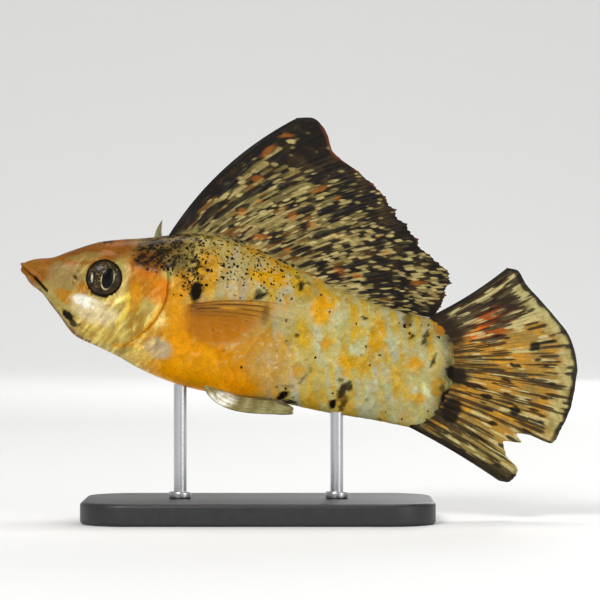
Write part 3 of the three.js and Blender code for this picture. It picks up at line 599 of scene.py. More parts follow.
def round_back_of(grid):
    """How far each point of a closed ring grid lies from the middle of the back."""
    steps = np.linalg.norm(np.diff(grid, axis=0, append=grid[:1]), axis=-1)
    down = np.concatenate([np.zeros((1, grid.shape[1])), np.cumsum(steps, 0)[:-1]])
    whole = steps.sum(0)
    return np.minimum(down, whole - down)


def head_relief(x, z):
    """How far lips, gill cover, cheek edge and nostrils stand out of the head, in millimetres."""
    line = [(px, float(mouth_height(px))) for px in (-0.6, 0.5, 2, 3.5, 5, MOUTH_CORNER[0])]
    mouth = from_line(x, z, line)
    out = ease(6.6, 5.2, x) * (0.3 * ridge(mouth, 0.5, 0.28) - 0.85 * ridge(mouth, 0, 0.17))
    cheek, gill = cheek_edge(z), gill_edge(z)
    height = ease(7.6, 5.0, z) * ease(-10.4, -8.6, z)
    along = np.clip((x - cheek) / (gill - cheek), 0, 1)
    out = out + 0.38 * height * along ** 1.3 * (x < gill)
    out = out - 0.3 * height * ridge(x - gill, 0.15, 0.4) * (x >= gill)
    edge = ease(5.5, 3, z) * ease(-9.5, -7, z)
    out = out + edge * 0.14 * ridge(x - cheek, -0.3, 0.35) - edge * 0.16 * ridge(x - cheek, 0.25, 0.25)
    for nostril_x, nostril_z, r in NOSTRILS:
        near = np.hypot(x - nostril_x, z - nostril_z) / r
        out = out - 1.3 * r * ridge(near, 0, 1) + 0.25 * r * ridge(near, 1.7, 0.5)
    jaw = from_line(x, z, JAW_LINE)
    return out - 0.16 * ridge(jaw, 0, 0.25) + 0.1 * ridge(jaw, 0.6, 0.4)


def set_round_eyes(points):
    """Lays the skin flat round each eye, with a low rim, and sinks it behind the eyeball."""
    x, y, z = points[..., 0], points[..., 1], points[..., 2]
    r = np.hypot(x - EYE["x"], z - EYE["z"])
    middle = float(flank(EYE["x"], EYE["z"])) - EYE["in"]
    shown = 0.9  # the share of the eyeball's radius that the skin leaves free
    edge = EYE["wide"] * shown
    level = middle + EYE["deep"] * math.sqrt(1 - shown ** 2) - 0.05
    out = mix(np.abs(y), level, ease(edge + 2.0, edge + 0.3, r))
    out = out + 0.16 * ridge(r - edge, 0.35, 0.25)
    out = out - 1.8 * ease(edge + 0.05, edge - 0.35, r)
    near = (r < edge + 2.0) & (np.abs(y) > 2)
    points[..., 1] = np.where(near, np.sign(y) * out, y)
    return points


def make_skin():
    """One closed skin over head, gill covers, trunk and tail stalk."""
    stops = rows_between(*SKIN_RINGS)
    turns = np.arange(SKIN_AROUND) / SKIN_AROUND
    turn, x = np.meshgrid(turns, stops, indexing="ij")
    grid = body_point(x, turn)
    out = normals_of(grid, closed=True)
    round_back = round_back_of(grid)
    over = np.stack([x, round_back * np.sign(grid[..., 1] + 1e-9)], -1).reshape(-1, 2)
    fine = 0.03 * clouds(over, 1.1, 61)
    relief = head_relief(grid[..., 0], grid[..., 2]) + fine.reshape(x.shape) - SKIN_IN
    grid = set_round_eyes(grid + relief[..., None] * out)
    points = grid.reshape(-1, 3)
    faces = grid_faces(SKIN_AROUND, len(stops), closed=True)
    number = np.arange(len(points)).reshape(SKIN_AROUND, len(stops))
    ends = []
    for row, outward in SKIN_ENDS:
        middle = grid[:, row].mean(0) + [outward, 0, 0]
        centre = len(points)
        points = np.vstack([points, middle])
        ring = number[:, row]
        following = np.roll(ring, -1)
        fan = (following, ring) if row == 0 else (ring, following)
        ends += [(centre, int(a), int(b)) for a, b in zip(*fan)]
    flat_turn = np.append(turn.ravel(), [0.5, 0.5])
    flat_round = np.append(round_back.ravel(), [round_back[:, 0].max() / 2] * 2)
    colour, pearl, speckle = paint(*points.T, flat_round)
    piece(
        "skin", points, [*faces.tolist(), *ends],
        ["head", "lower_jaw", "gill_cover_left", "gill_cover_right", "trunk", "tail_stalk"],
        "skin", wet_skin("wet skin", 0.07, 0.42),
        np.column_stack([inset(points[:, 0] / TAIL_ROOT), inset(flat_turn)]),
        tint=colour, pearl=pearl, speckle=speckle,
    )


# Scales

SCALE_PITCH = 2.35
SCALE_LONG = SCALE_PITCH * 1.72  # a scale's whole length, with what lies under the one ahead
SCALE_ROWS = 14
SCALES_FROM, SCALES_TO = 16.5, TAIL_ROOT - 4.4
SCALE_THICK = 0.04
SCALE_PATCH = 0.003  # each scale's own small patch of the unwrap


class OverSkin:
    """Finds points of the body by x and by the share of the way from the back to the belly."""

    def __init__(self):
        self.x = np.linspace(14, TAIL_ROOT, 140)
        turns = np.linspace(0, 0.5, 241)
        x, turn = np.meshgrid(self.x, turns, indexing="ij")
        ring = body_point(x, turn)
        steps = np.linalg.norm(np.diff(ring, axis=1), axis=-1)
        down = np.concatenate([np.zeros((len(self.x), 1)), np.cumsum(steps, 1)], 1)
        self.length = down[:, -1]
        self.shares = np.linspace(0, 1, 161)
        self.turns = np.stack([np.interp(self.shares, d / d[-1], turns) for d in down])

    def half_girth(self, x):
        return np.interp(x, self.x, self.length)

    def turn(self, x, share):
        i = np.clip((x - self.x[0]) / (self.x[1] - self.x[0]), 0, len(self.x) - 1.001)
        j = np.clip(share, 0, 1) * (len(self.shares) - 1)
        j = np.minimum(j, len(self.shares) - 1.001)
        a, b = i.astype(int), j.astype(int)
        u, v = i - a, j - b
        low = mix(self.turns[a, b], self.turns[a, b + 1], v)
        high = mix(self.turns[a + 1, b], self.turns[a + 1, b + 1], v)
        return mix(low, high, u)

    def point(self, x, share, side, height):
        """A point at a height over the skin, and how far it is round from the back."""
        turn = self.turn(x, share)
        at = body_point(x, turn)
        nudge = 1e-3
        across = body_point(x, turn + nudge) - body_point(x, turn - nudge)
        along = body_point(x + 0.02, turn) - body_point(x - 0.02, turn)
        out = np.cross(across, along)
        out = out / np.maximum(np.linalg.norm(out, axis=-1, keepdims=True), 1e-9)
        at = at + out * np.asarray(height)[..., None]
        at[..., 1] = at[..., 1] * -side
        return at, np.clip(share, 0, 1) * self.half_girth(x)


def scale_places(over):
    """The root x and row of each scale: rows from back to belly, each second one set back."""
    places = []
    for row in range(SCALE_ROWS):
        share = (row + 0.5) / SCALE_ROWS
        first = SCALES_FROM + 0.5 * (row % 2) * SCALE_PITCH
        for x in np.arange(first, SCALES_TO, SCALE_PITCH):
            at, _ = over.point(np.array([x]), np.array([share]), LEFT, np.array([0.0]))
            z = at[0, 2]
            on_nape = row <= 2 and z > 6 and x > 17
            if on_nape or x > float(gill_edge(z)) + 0.2:
                places.append((x, row))
    return np.array(places)


def make_scales(side, name):
    """Overlapping rounded scales, each a thin closed plate whose rear edge stands free."""
    over = OverSkin()
    x0, row = scale_places(over).T
    along, across = 11, 11
    u, v = np.meshgrid(np.linspace(0, 1, along), np.linspace(-1, 1, across), indexing="ij")
    count, per = len(x0), along * across
    number = np.arange(count)[:, None, None]
    size = 1 + 0.06 * (2 * draw(number, seed=71) - 1)
    reach = 0.62 + 0.38 * np.sqrt(1 - 0.96 * v ** 2)
    narrow = 0.72 + 0.28 * ease(0, 0.5, u)
    x = x0[:, None, None] + SCALE_LONG * size * u * reach
    x = np.minimum(x, TAIL_ROOT - 0.3)
    share = (row[:, None, None] + 0.5 + 0.98 * size * v * narrow) / SCALE_ROWS
    share = np.clip(share, 0, 1)
    rise = 0.045 + 0.05 * ease(32, 56, x)
    grooves = 0.006 * np.cos(u * 26) * ease(0.3, 0.6, u)
    lift = -SKIN_IN + 0.02 + rise * u - 0.02 * v ** 2 + grooves
    top, round_back = over.point(x, share, side, lift)
    low, _ = over.point(x, share, side, lift - SCALE_THICK)
    points = np.concatenate([top.reshape(count, per, 3), low.reshape(count, per, 3)], 1).reshape(-1, 3)
    one = plate_faces(along, across)
    one = one[:, ::-1] if side == LEFT else one
    faces = (one[None] + number * 2 * per).reshape(-1, 4)
    colour, pearl, speckle = paint(*top.reshape(-1, 3).T, round_back.ravel())
    colour = colour.reshape(count, along, across, 3)
    behind = 0.7 * ease(30, 40, x)[..., None]
    hue, light = draw(number, seed=73)[..., None], draw(number, seed=75)[..., None]
    colour = mix(colour, colour * linear((255, 240, 190)), (hue < 0.35) * behind)
    colour = mix(colour, colour * [1.02, 0.98, 1.2], (hue > 0.75) * behind)
    # Painted shade: each scale is darkened towards its root, under the scale ahead, and its free rear edge
    # is a little paler; each scale's lightness also differs at random.
    rear = ease(0.6, 0.95, u)[..., None]
    colour = colour * (0.9 + 0.2 * light) * (1 + 0.1 * rear) * (1 - 0.1 * ease(0.5, 0.2, u)[..., None])
    root = np.column_stack([inset(x0 / TAIL_ROOT), 0.5 + side * (row + 0.5) / SCALE_ROWS * 0.48])
    local = np.stack([u, v * 0.5 + 0.5], -1).reshape(per, 2) * SCALE_PATCH
    unwrap = (root[:, None, :] + np.concatenate([local, local])[None]).reshape(-1, 2)

    def both_faces(value, columns):
        value = value.reshape(count, per, columns)
        return np.concatenate([value, value], 1).reshape(-1, columns)

    piece(
        name, points, faces, [], "skin", wet_skin("pearly scales", 0.09, 0.38), unwrap,
        tint=both_faces(colour, 3), pearl=both_faces(pearl, 1)[:, 0],
        speckle=both_faces(speckle, 1)[:, 0],
    )


# Fins

MEMBRANE = 0.2
RAY_STEPS = 24  # columns of points from ray to ray


def fin_columns(rays):
    """The t of each column of a fin."""
    return np.linspace(0, 1, (rays - 1) * RAY_STEPS + 1)


def ray_relief(k, v, spacing, relief):
    """Height of the rays over the membrane: each splits in two, and again near its tip."""
    off = np.abs(k - np.round(k))
    split = 0.24 * ease(0.28, 0.6, v)
    again = 0.11 * ease(0.62, 0.85, v)
    reach = np.minimum(np.abs(off - split - again), np.abs(off - split + again)) * spacing
    width = mix(0.24, 0.11, ease(0.05, 0.8, v))
    return relief * mix(1, 0.55, ease(0.3, 1, v)) * ridge(reach, 0, width)


def torn_share(frayed, k, length, seed):
    """How much of each column is missing at the fin's rim, as a share of its length."""
    f = k - np.floor(k)
    deep = np.sin(np.pi * f) ** 0.8 * (0.3 + 1.1 * draw(np.floor(k), seed=seed))
    small = 0.3 * np.abs(np.sin(4 * np.pi * f)) + 0.2 * cloud(k[:, None], 0.17, seed + 1)
    return frayed * (deep + small) / length


def make_fin(name, node, slot, material, spec, place, painter, rows, relief=0.17):
    """A fin with two faces, raised and branching rays, a sheath at its root and a thin rim."""
    t = fin_columns(spec["rays"])
    k = t * (spec["rays"] - 1)
    v = np.linspace(0, 1, rows) ** 0.92
    whole = place(t[:, None], np.array([[0.0, 1.0]]))
    length = np.linalg.norm(whole[:, 1] - whole[:, 0], axis=-1)
    reach = 1 - (torn_share(smooth(spec["frayed"])(t), k, length, 81) if "frayed" in spec else 0 * t)
    share = v[None, :] * reach[:, None]
    centre = place(t[:, None], share)
    out = normals_of(centre)
    spacing = np.linalg.norm(np.gradient(centre, axis=0), axis=-1) * RAY_STEPS
    rays = ray_relief(k[:, None], share, spacing, relief)
    sheath = smooth([(0, spec["sheath"]), (0.1, spec["sheath"] * 0.8), (0.24, MEMBRANE), (1, MEMBRANE)])
    rim = ease(1.0, 0.95, v)[None, :] * 0.75 + 0.25
    side_rim = np.minimum(ease(0, 0.012, t), ease(1, 0.988, t))[:, None] * 0.6 + 0.4
    half = (sheath(share) / 2 + rays) * rim * side_rim
    away = share * length[:, None]
    front, back = centre + out * half[..., None], centre - out * half[..., None]
    points = np.concatenate([front.reshape(-1, 3), back.reshape(-1, 3)])
    colour, clear = painter(
        at=centre.reshape(-1, 3), k=k.repeat(rows), v=share.ravel(), away=away.ravel(),
        spacing=spacing.ravel(), length=length.repeat(rows),
    )
    unwrap = np.stack([inset(t)[:, None] + 0 * share, share * 0.46 + 0.02], -1).reshape(-1, 2)
    piece(
        name, points, plate_faces(len(t), rows), [node], slot, material,
        np.concatenate([unwrap, unwrap + [0, 0.5]]),
        tint=np.concatenate([colour] * 2), clear=np.concatenate([clear] * 2),
    )


def middle_fin(spec, root, tip):
    """Where a fin in the fish's middle plane lies: rays from root to tip, bowed and swaying."""
    bow = smooth(spec["bow"])

    def place(t, v):
        (ax, az), (bx, bz) = root(t), tip(t)
        dx, dz = bx - ax, bz - az
        arch = 4 * v * (1 - v) * bow(t) / np.hypot(dx, dz)
        y = spec["sway"] * v ** 2 * np.sin(5 * t + 2.2 * v)
        return np.stack([ax + v * dx - arch * dz, y + 0 * dx, az + v * dz + arch * dx], -1)

    return place


def dashes(k, away, lanes, size, share, seed, narrow=0.25):
    """Dashes along the rays, so many lanes of them to each ray: 1 inside one. Share is how much
    of its lane they take."""
    place = lanes * k + 0.18 * cloud(np.column_stack([away / 3, k]), 1, seed + 1)
    lane = np.floor(place)
    across = 2 * (place - lane) - 1
    along = np.column_stack([away / size + 40 * draw(lane, seed=seed), lane * 7.0])
    level = cloud(along, 1, seed) * 0.5 + 0.5
    return ease(-0.06, 0.07, level - (1 - share) - narrow * across ** 2)


def by_dash(k, away, lanes, size, seed):
    """A repeatable number from 0 to 1 for each dash-sized stretch of each lane."""
    return draw(np.floor(lanes * k), np.floor(away / size), seed=seed)


def ray_lines(k, spacing, width):
    """How much each point lies on a ray."""
    return ridge(np.abs(k - np.round(k)) * spacing, 0, width)


def side_view(at):
    """The x and z of many points, one by one and as two columns."""
    return at[:, 0], at[:, 2], at[:, [0, 2]]


# Orange-brown flecks of the dorsal fin: x, z, half length, half height, lean in degrees
DORSAL_ORANGE = [
    (38.6, 31.2, 0.6, 1.7, -35), (38.0, 25.9, 1.2, 0.6, 10), (36.8, 19.3, 0.9, 0.8, 0),
    (39.4, 22.1, 0.7, 0.4, 10), (41.2, 15.7, 1.8, 0.5, 15), (45.9, 20.8, 0.8, 0.8, 0),
    (49.8, 20.2, 0.9, 0.8, 0), (49.3, 26.6, 1.6, 0.4, 35), (41.3, 34.8, 1.3, 0.4, 20),
    (56.5, 13.2, 1.0, 0.5, 10), (60.0, 13.1, 0.9, 0.5, 10), (71.2, 14.6, 1.7, 0.4, 12),
    (62.2, 21.2, 0.9, 0.3, 30), (46.5, 14.5, 1.0, 0.5, 0), (53.2, 26.0, 0.8, 0.3, 35),
    (64.0, 18.4, 1.0, 0.3, 20),
]


def paint_dorsal(at, k, v, away, length, **_):
    """Near-black with cream and khaki dashes along the rays, thicker towards the base."""
    x, z, flat = side_view(at)
    lump = cloud(flat, 5, 90)
    colour = between((22, 17, 11), (58, 42, 21), ease(-0.2, 0.7, clouds(flat, 2.2, 91)))
    low = np.maximum(ease(1.0, 0.5, v) * ease(9, 5, k), ease(0.4, 0.1, v)) * ease(0.5, 1.1, k)
    khaki = between((96, 82, 42), (150, 136, 78), by_dash(k, away, 7, 2.6, 94))
    colour = mix(colour, khaki, 0.85 * dashes(k, away, 7, 2.4, 0.62 * low, 93)[:, None])
    colour = lay(colour, (112, 74, 26), 0.8 * dashes(k, away, 3, 3.2, 0.3 * ease(0.75, 0.35, v), 92))
    share = np.interp(v, [0, 0.15, 0.45, 0.7, 0.85, 1], [0.48, 0.5, 0.49, 0.45, 0.35, 0.1]) + 0.2 * lump
    share = share * ease(0.35, 1.0, k) * mix(0.85, 1, ease(1, 5, k)) * (1 + 0.25 * ease(8, 12, k))
    share = share * (1 - 0.75 * ease(1.3, 0.6, ellipse(x, z, 48.5, 34, 4.5, 3.0, 50)))
    cream = between((122, 106, 54), (188, 170, 112), by_dash(k, away, 5, 2, 97))
    colour = mix(colour, cream, 0.92 * dashes(k, away, 5, 1.15, share, 95)[:, None])
    dark = dashes(k, away, 2, 2.2, (0.34 - 0.2 * lump) * ease(0.0, 0.25, v), 99, 0.35)
    colour = lay(colour, (20, 16, 11), 0.9 * dark)
    ragged_x, ragged_z = x + 0.35 * clouds(flat, 0.8, 101), z + 0.3 * clouds(flat, 0.6, 102)
    for place in DORSAL_ORANGE:
        colour = lay(colour, (172, 98, 20), 0.5 * ease(1.3, 0.6, ellipse(ragged_x, ragged_z, *place)))
    rim = ease(0.75, 0.35, length - away)
    top = rim * ease(7.5, 5.0, k) * ease(0.7, 1.2, k) * ease(-0.6, 0.2, cloud(flat, 1.2, 103))
    colour = lay(colour, (112, 56, 20), 0.7 * top)
    colour = lay(colour, (96, 50, 22), rim * ease(5, 7, k) * ease(0.0, 0.4, cloud(flat, 1.7, 105)))
    colour = lay(colour, (22, 17, 11), ease(0.5, 0.2, k))
    foot = ease(1.5, 0.2, away - 0.9) * ease(0.2, 1.2, k)
    scaly = between((150, 138, 80), (188, 142, 36), ease(-0.2, 0.4, cloud(flat, 2.4, 107)))
    colour = mix(colour, scaly, 0.75 * foot[:, None])
    colour = lay(colour, INK, dots(flat, 0.85, foot * 0.6, 0.36, 109))
    return colour * (1 + 0.15 * clouds(flat, 0.5, 111))[:, None], 1 + 0 * v


# Tail fin blotches: x, z, half length and half height
CAUDAL_BLOTCHES = [
    (82.2, -0.2, 2.0, 1.5), (82.6, -6.6, 1.8, 2.5), (85.5, -1.2, 2.6, 0.45), (88.2, -2.6, 1.3, 0.5),
    (94.0, -3.8, 0.9, 0.8), (90.5, -7.0, 0.9, 0.4), (94.6, 8.4, 1.0, 0.8), (92.0, 4.2, 1.2, 0.4),
    (91.0, 1.2, 1.0, 0.3),
]


def paint_caudal(at, k, v, away, spacing, length):
    """Streaked along the rays: black base blotches, an orange and amber middle, a pale band and
    a black rim."""
    x, z, flat = side_view(at)
    to_rim = length - away
    top, low = ease(3.8, 1.8, k), ease(10.8, 12.4, k)
    colour = between((144, 116, 54), (180, 130, 42), ease(-0.3, 0.5, clouds(flat, 3, 121)))
    colour = lay(colour, (58, 44, 24), 0.9 * top)
    colour = lay(colour, (140, 124, 66), 0.8 * low)
    red = ease(1.25, 0.5, ellipse(x, z, 85.5, 10.2, 5.0, 3.3, 38))
    colour = lay(colour, (160, 74, 18), 0.85 * red)
    hot = ease(1.3, 0.6, ellipse(x, z, 83.4, 8.2, 2.0, 1.1, 35)) * ease(-0.5, 0.1, clouds(flat, 1.0, 122))
    colour = lay(colour, (214, 104, 20), hot)
    warm = dashes(k, away, 4, 3.6, 0.3 * ease(0.75, 0.5, v) * (1 - top), 120)
    colour = lay(colour, (206, 146, 34), 0.8 * warm)
    share = 0.27 + 0.2 * top + 0.1 * low + 0.14 * ease(0.5, 0.85, v)
    colour = lay(colour, (196, 182, 124), 0.85 * dashes(k, away, 5, 2.6, share * ease(0.03, 0.2, v), 123))
    ragged_rim = to_rim + cloud(np.column_stack([4 * k]), 1, 131)
    band = ease(4.2, 2.0, ragged_rim) * ease(0.4, 1.6, k) * ease(10.8, 9.6, k)
    olive = between((184, 172, 114), (144, 132, 74), ease(-0.3, 0.5, clouds(flat, 1.4, 133)))
    colour = mix(colour, olive, 0.85 * band[:, None])
    share = 0.5 + 0.14 * top + 0.08 * low + 0.12 * red - 0.3 * band + 0.12 * cloud(flat, 4, 124)
    share = share - 0.16 * ease(1.3, 0.5, ellipse(x, z, 92.5, -1.5, 7.0, 3.8, 0))
    colour = lay(colour, (40, 28, 15), 0.88 * dashes(k, away, 6, 5.5, share, 125, 0.18))
    spots = dashes(k, away, 3, 2.2, 0.16 + 0.1 * ease(0.3, 0.7, v), 126, 0.5)
    colour = lay(colour, (28, 20, 12), 0.9 * spots)
    root = ease(4.8, 2.0, away + 0.8 * clouds(flat, 1.2, 134)) * (0.6 + 0.4 * ease(4.8, 3.0, k))
    colour = lay(colour, (40, 28, 14), 0.9 * root)
    ragged_x, ragged_z = clouds(flat, 0.9, 127), clouds(flat, 0.9, 129)
    for cx, cz, half_x, half_z in CAUDAL_BLOTCHES:
        rough = min(0.45, 0.5 * half_z)
        d = ellipse(x + rough * ragged_x, z + rough * ragged_z, cx, cz, half_x, half_z, 0)
        colour = lay(colour, INK, 0.95 * ease(1.25, 0.75, d))
    edge = to_rim + 0.4 * cloud(np.column_stack([3 * k, away]), 1, 132)
    rim = np.maximum.reduce([
        ease(1.1, 0.5, edge) * ease(11.2, 9.6, k),
        ease(1.1, 0.5, k * spacing),
        ease(2.1, 1.1, (CAUDAL["rays"] - 1 - k) * spacing),
        0.9 * ease(1.4, 0.5, to_rim) * ease(12.4, 13.2, k),
    ])
    colour = lay(colour, (28, 21, 13), 0.95 * rim)
    return colour * (1 + 0.15 * clouds(flat, 0.5, 135))[:, None], 1 + 0 * v


def paint_pectoral(at, k, v, away, spacing, **_):
    """A clear amber veil with brown ray lines, dark near its leading edge."""
    x, z, flat = side_view(at)
    line = ray_lines(k, spacing, mix(0.26, 0.13, ease(0.1, 0.8, v)))
    lead = ease(5.5, 1.5, k)
    colour = between((190, 118, 8), (196, 138, 34), ease(-0.4, 0.4, clouds(flat, 3, 141)) * lead)
    tip = ease(0.66, 0.86, v)
    colour = lay(colour, (196, 176, 112), tip)
    faded = ease(-0.9, 0.3, cloud(np.column_stack([away / 4, np.round(k)]), 1, 143))
    brown = line * ease(0.78, 0.62, v) * faded * (0.15 + 0.85 * lead)
    colour = lay(colour, (58, 24, 6), 0.97 * brown)
    # Painted shadow: a dark upright band across the folded fin where it stands off the flank, made less
    # clear there as well.
    painted_shadow = ease(1.25, 0.4, ellipse(x, z, 45.6, 2.0, 0.8, 2.8, 8)) * (at[:, 1] < 0)
    colour = lay(colour, (74, 44, 16), 0.7 * painted_shadow)
    solid = 0.3 + 0.1 * lead + 0.65 * line * (0.06 + 0.94 * lead) + 0.3 * painted_shadow
    solid = solid * mix(1, 0.15 + 0.2 * lead + 0.5 * line * lead, tip) * ease(0.01, 0.1, v)
    raised = at[:, 1] > 9
    colour = lay(colour, (170, 164, 112), raised * ease(0.3, 0.6, v))
    solid = np.where(raised, np.maximum(solid, mix(0.45 + 0.5 * line, 0.95, ease(2.0, 0.8, k))), solid)
    return colour, np.clip(solid, 0, 1)


def paint_pelvic(at, k, spacing, **_):
    """Clear grey-green, with silver at the root and brown near the tip."""
    x, z, flat = side_view(at)
    colour = between((128, 118, 66), (168, 160, 112), ease(-0.4, 0.4, clouds(flat, 1.4, 151)))
    silver = ease(1.3, 0.5, ellipse(x, z, 41.2, -14.8, 2.9, 1.3, 10))
    silver = silver * ease(-0.8, -0.1, clouds(flat, 1.0, 153))
    colour = lay(colour, (244, 240, 226), silver)
    dark = ease(1.3, 0.6, ellipse(x, z, 52.6, -12.6, 1.9, 0.6, -5))
    colour = lay(colour, (60, 46, 24), 0.8 * dark)
    line = ray_lines(k, spacing, 0.15)
    colour = lay(colour, (92, 82, 44), 0.4 * line)
    return colour, np.clip(0.8 + 0.2 * line + silver + dark, 0, 1)


def make_dorsal():
    def root(t):
        x = mix(*DORSAL["root"], t)
        return x - DORSAL["root_ahead"], BACK(x) - DORSAL["root_in"]

    make_fin(
        "dorsal_fin_rays", "dorsal_fin", "dark_fin", fin_material("dorsal fin"), DORSAL,
        middle_fin(DORSAL, root, outline(DORSAL["tips"])), paint_dorsal, rows=120,
    )


def make_caudal():
    make_fin(
        "tail_fin_rays", "tail_fin", "dark_fin", fin_material("tail fin"), CAUDAL,
        middle_fin(CAUDAL, outline(CAUDAL["roots"]), outline(CAUDAL["tips"])), paint_caudal, rows=110,
    )


def pectoral_root(t):
    (ax, az), (bx, bz) = PECTORAL["top"], PECTORAL["bottom"]
    return mix(ax, bx, t), mix(az, bz, t)


def make_pectoral(side, place):
    make_fin(
        "pectoral_veil_" + side, "pectoral_fin_" + side, "clear_fin",
        clear_material("pectoral veil"), PECTORAL, place, paint_pectoral, rows=60, relief=0.12,
    )


def make_folded_pectoral():
    tip, bow, lift = outline(PECTORAL["folded"]), smooth(PECTORAL["bow"]), smooth(PECTORAL["lift"])

    def place(t, v):
        (ax, az), (bx, bz) = pectoral_root(t), tip(t)
        x, z = mix(ax, bx, v), mix(az, bz, v) + 4 * v * (1 - v) * bow(t)
        return np.stack([x, -(flank(x, z) + lift(v)), z], -1)

    make_pectoral("left", place)


def turned_about(vector, axis, angle):
    """A vector turned about an axis, at each of many angles."""
    c, s = np.cos(angle)[..., None], np.sin(angle)[..., None]
    return vector * c + np.cross(axis, vector) * s + axis * (axis @ vector) * (1 - c)


def make_raised_pectoral():
    first, last = (np.array(PECTORAL[key], float) for key in ("raised_first", "raised_last"))
    fan = np.cross(first, last)
    fan = fan / np.linalg.norm(fan)
    size = np.linalg.norm(first)
    angle = math.acos(first @ last / size / np.linalg.norm(last))
    lengths = smooth(PECTORAL["raised_lengths"])

    def place(t, v):
        t, v = np.broadcast_arrays(t, v)
        ax, az = pectoral_root(t)
        root = np.stack([ax, flank(ax, az) - PECTORAL["root_in"], az], -1)
        along = turned_about(first / size, fan, angle * t)
        forward = np.cross(along, fan)
        bow = (4 * v * (1 - v) * PECTORAL["raised_bow"] * (1 - 0.7 * t))[..., None]
        reach = lengths(t) * v
        # The hook is greatest, at 1, two thirds of the way out
        hook = 6.75 * reach ** 2 * (1 - reach) * PECTORAL["raised_hook"]
        dish = (hook - 1.2 * np.sin(np.pi * t) * v)[..., None]
        return root + along * (size * reach)[..., None] + forward * bow + fan * dish

    make_pectoral("right", place)


def make_pelvic(side, name, node):
    tip, bow, spread = outline(PELVIC["tips"]), smooth(PELVIC["bow"]), smooth(PELVIC["spread"])
    first, last = PELVIC["first"], PELVIC["last"]

    def place(t, v):
        ax = mix(first[0], last[0], t)
        ay = mix(-first[1], -last[1], t)
        az = belly_at(ax, ay) + PELVIC["drop"]
        bx, bz = tip(t)
        y = ay + (spread(t) - ay) * np.minimum(3 * v, 1)
        z = mix(az, bz, v) + np.sin(np.pi * v ** 0.62) * bow(t)
        return np.stack([mix(ax, bx, v), side * y, z], -1)

    make_fin(
        name, node, "clear_fin", clear_material("pelvic veil"), PELVIC, place, paint_pelvic,
        rows=60, relief=0.1,
    )


def make_gonopodium():
    """The thin rod of joined rays under the belly, with fine rings along it."""
    at = np.array(GONOPODIUM["path"], float)
    ends = np.linspace(0, 1, len(at))
    along = np.linspace(0, 1, 90)
    x, z, radius = (smooth(list(zip(ends, part)))(along) for part in (*at.T, GONOPODIUM["radii"]))
    radius = radius * (1 + 0.05 * np.sin(along * 130)) * np.sqrt(ease(1.0, 0.96, along) + 0.02)
    dx, dz = np.gradient(x), np.gradient(z)
    size = np.hypot(dx, dz)
    around = 24
    turn = np.arange(around)[:, None] / around * 2 * np.pi
    px = x - np.cos(turn) * radius * dz / size
    pz = z + np.cos(turn) * radius * dx / size
    grid = np.stack([px, -np.sin(turn) * radius * 0.8 + 0 * px, pz], -1)
    points = grid.reshape(-1, 3)
    faces = grid_faces(around, len(along), closed=True).tolist()
    for row, towards in ((0, True), (len(along) - 1, False)):
        ring = [c * len(along) + row for c in range(around)]
        faces.append(tuple(ring[::-1] if towards else ring))
    mottle = ease(-0.3, 0.5, clouds(points[:, [0, 2]], 0.9, 161))
    piece(
        "gonopodium_rays", points, faces, ["gonopodium"], "clear_fin", clear_material("gonopodium"),
        tint=between((150, 146, 108), (92, 84, 56), mottle), clear=np.ones(len(points)),
    )


# Eyes

def make_eye(side, name, node):
    """A glossy ball: a black upright pupil in an ivory ring, a dark bronze iris and a black edge."""
    bpy.ops.object.select_all(action="DESELECT")
    bpy.ops.mesh.primitive_uv_sphere_add(segments=128, ring_count=96, radius=1)
    ball = bpy.context.object
    across, up, outward = np.array([v.co for v in ball.data.vertices], float).T
    faces = [tuple(f.vertices) for f in ball.data.polygons]
    bpy.data.objects.remove(ball)
    # The ball's pole is turned to face out of the head, which mirrors the right one
    if side == RIGHT:
        faces = [f[::-1] for f in faces]
    x, z = EYE["x"] + EYE["wide"] * across, EYE["z"] + EYE["wide"] * up
    pupil = np.hypot((x - PUPIL["x"]) / PUPIL["half_wide"], (z - PUPIL["z"]) / PUPIL["half_high"])
    lens = 0.12 * ease(1.3, 0.4, pupil) * (outward > 0)
    middle = side * (float(flank(EYE["x"], EYE["z"])) - EYE["in"])
    y = middle + side * (EYE["deep"] * outward + lens)

    flat = np.column_stack([x, z])
    r = np.hypot(x - EYE["x"], z - EYE["z"])
    turn = np.arctan2(z - PUPIL["z"], x - PUPIL["x"])
    colour = between((34, 25, 15), (66, 50, 28), ease(-0.3, 0.5, clouds(flat, 0.9, 171)))
    fibres = cloud(np.column_stack([turn * 9, r * 0.6]), 1, 173)
    colour = colour * (1 + 0.25 * fibres)[:, None]
    lit = ease(2.2, -0.5, (x - EYE["x"]) - (z - EYE["z"])) * ease(3.1, 2.6, r)
    colour = lay(colour, (142, 122, 80), 0.8 * dots(flat, 0.42, 0.4 * lit, 0.26, 175))
    ring = ease(1.0, 1.05, pupil) * ease(1.24, 1.1, pupil)
    below = ease(0.2, 0.95, np.cos(turn - math.radians(225)))
    beside = ease(0.6, 0.98, np.cos(turn - math.radians(15)))
    bright = 0.06 + 0.94 * np.maximum(below, beside) * ease(-0.7, 0.0, clouds(flat, 0.6, 177))
    colour = lay(colour, (214, 196, 140), ring * bright)
    # Painted reflection: a pale upright fleck on the front of the eye, where a lamp shows on the cornea.
    fleck = ease(1.2, 0.6, ellipse(x, z, 13.5, 1.1, 0.2, 0.9, 12)) * ease(-0.5, 0.1, clouds(flat, 0.5, 179))
    colour = lay(colour, (224, 216, 190), 0.9 * fleck)
    colour = lay(colour, (14, 10, 7), ease(2.75, 3.2, r))
    colour = lay(colour, (4, 4, 4), ease(1.06, 0.98, pupil))
    piece(name, np.column_stack([x, y, z]), faces, [node], "eye", eye_material(), tint=colour)


# Materials

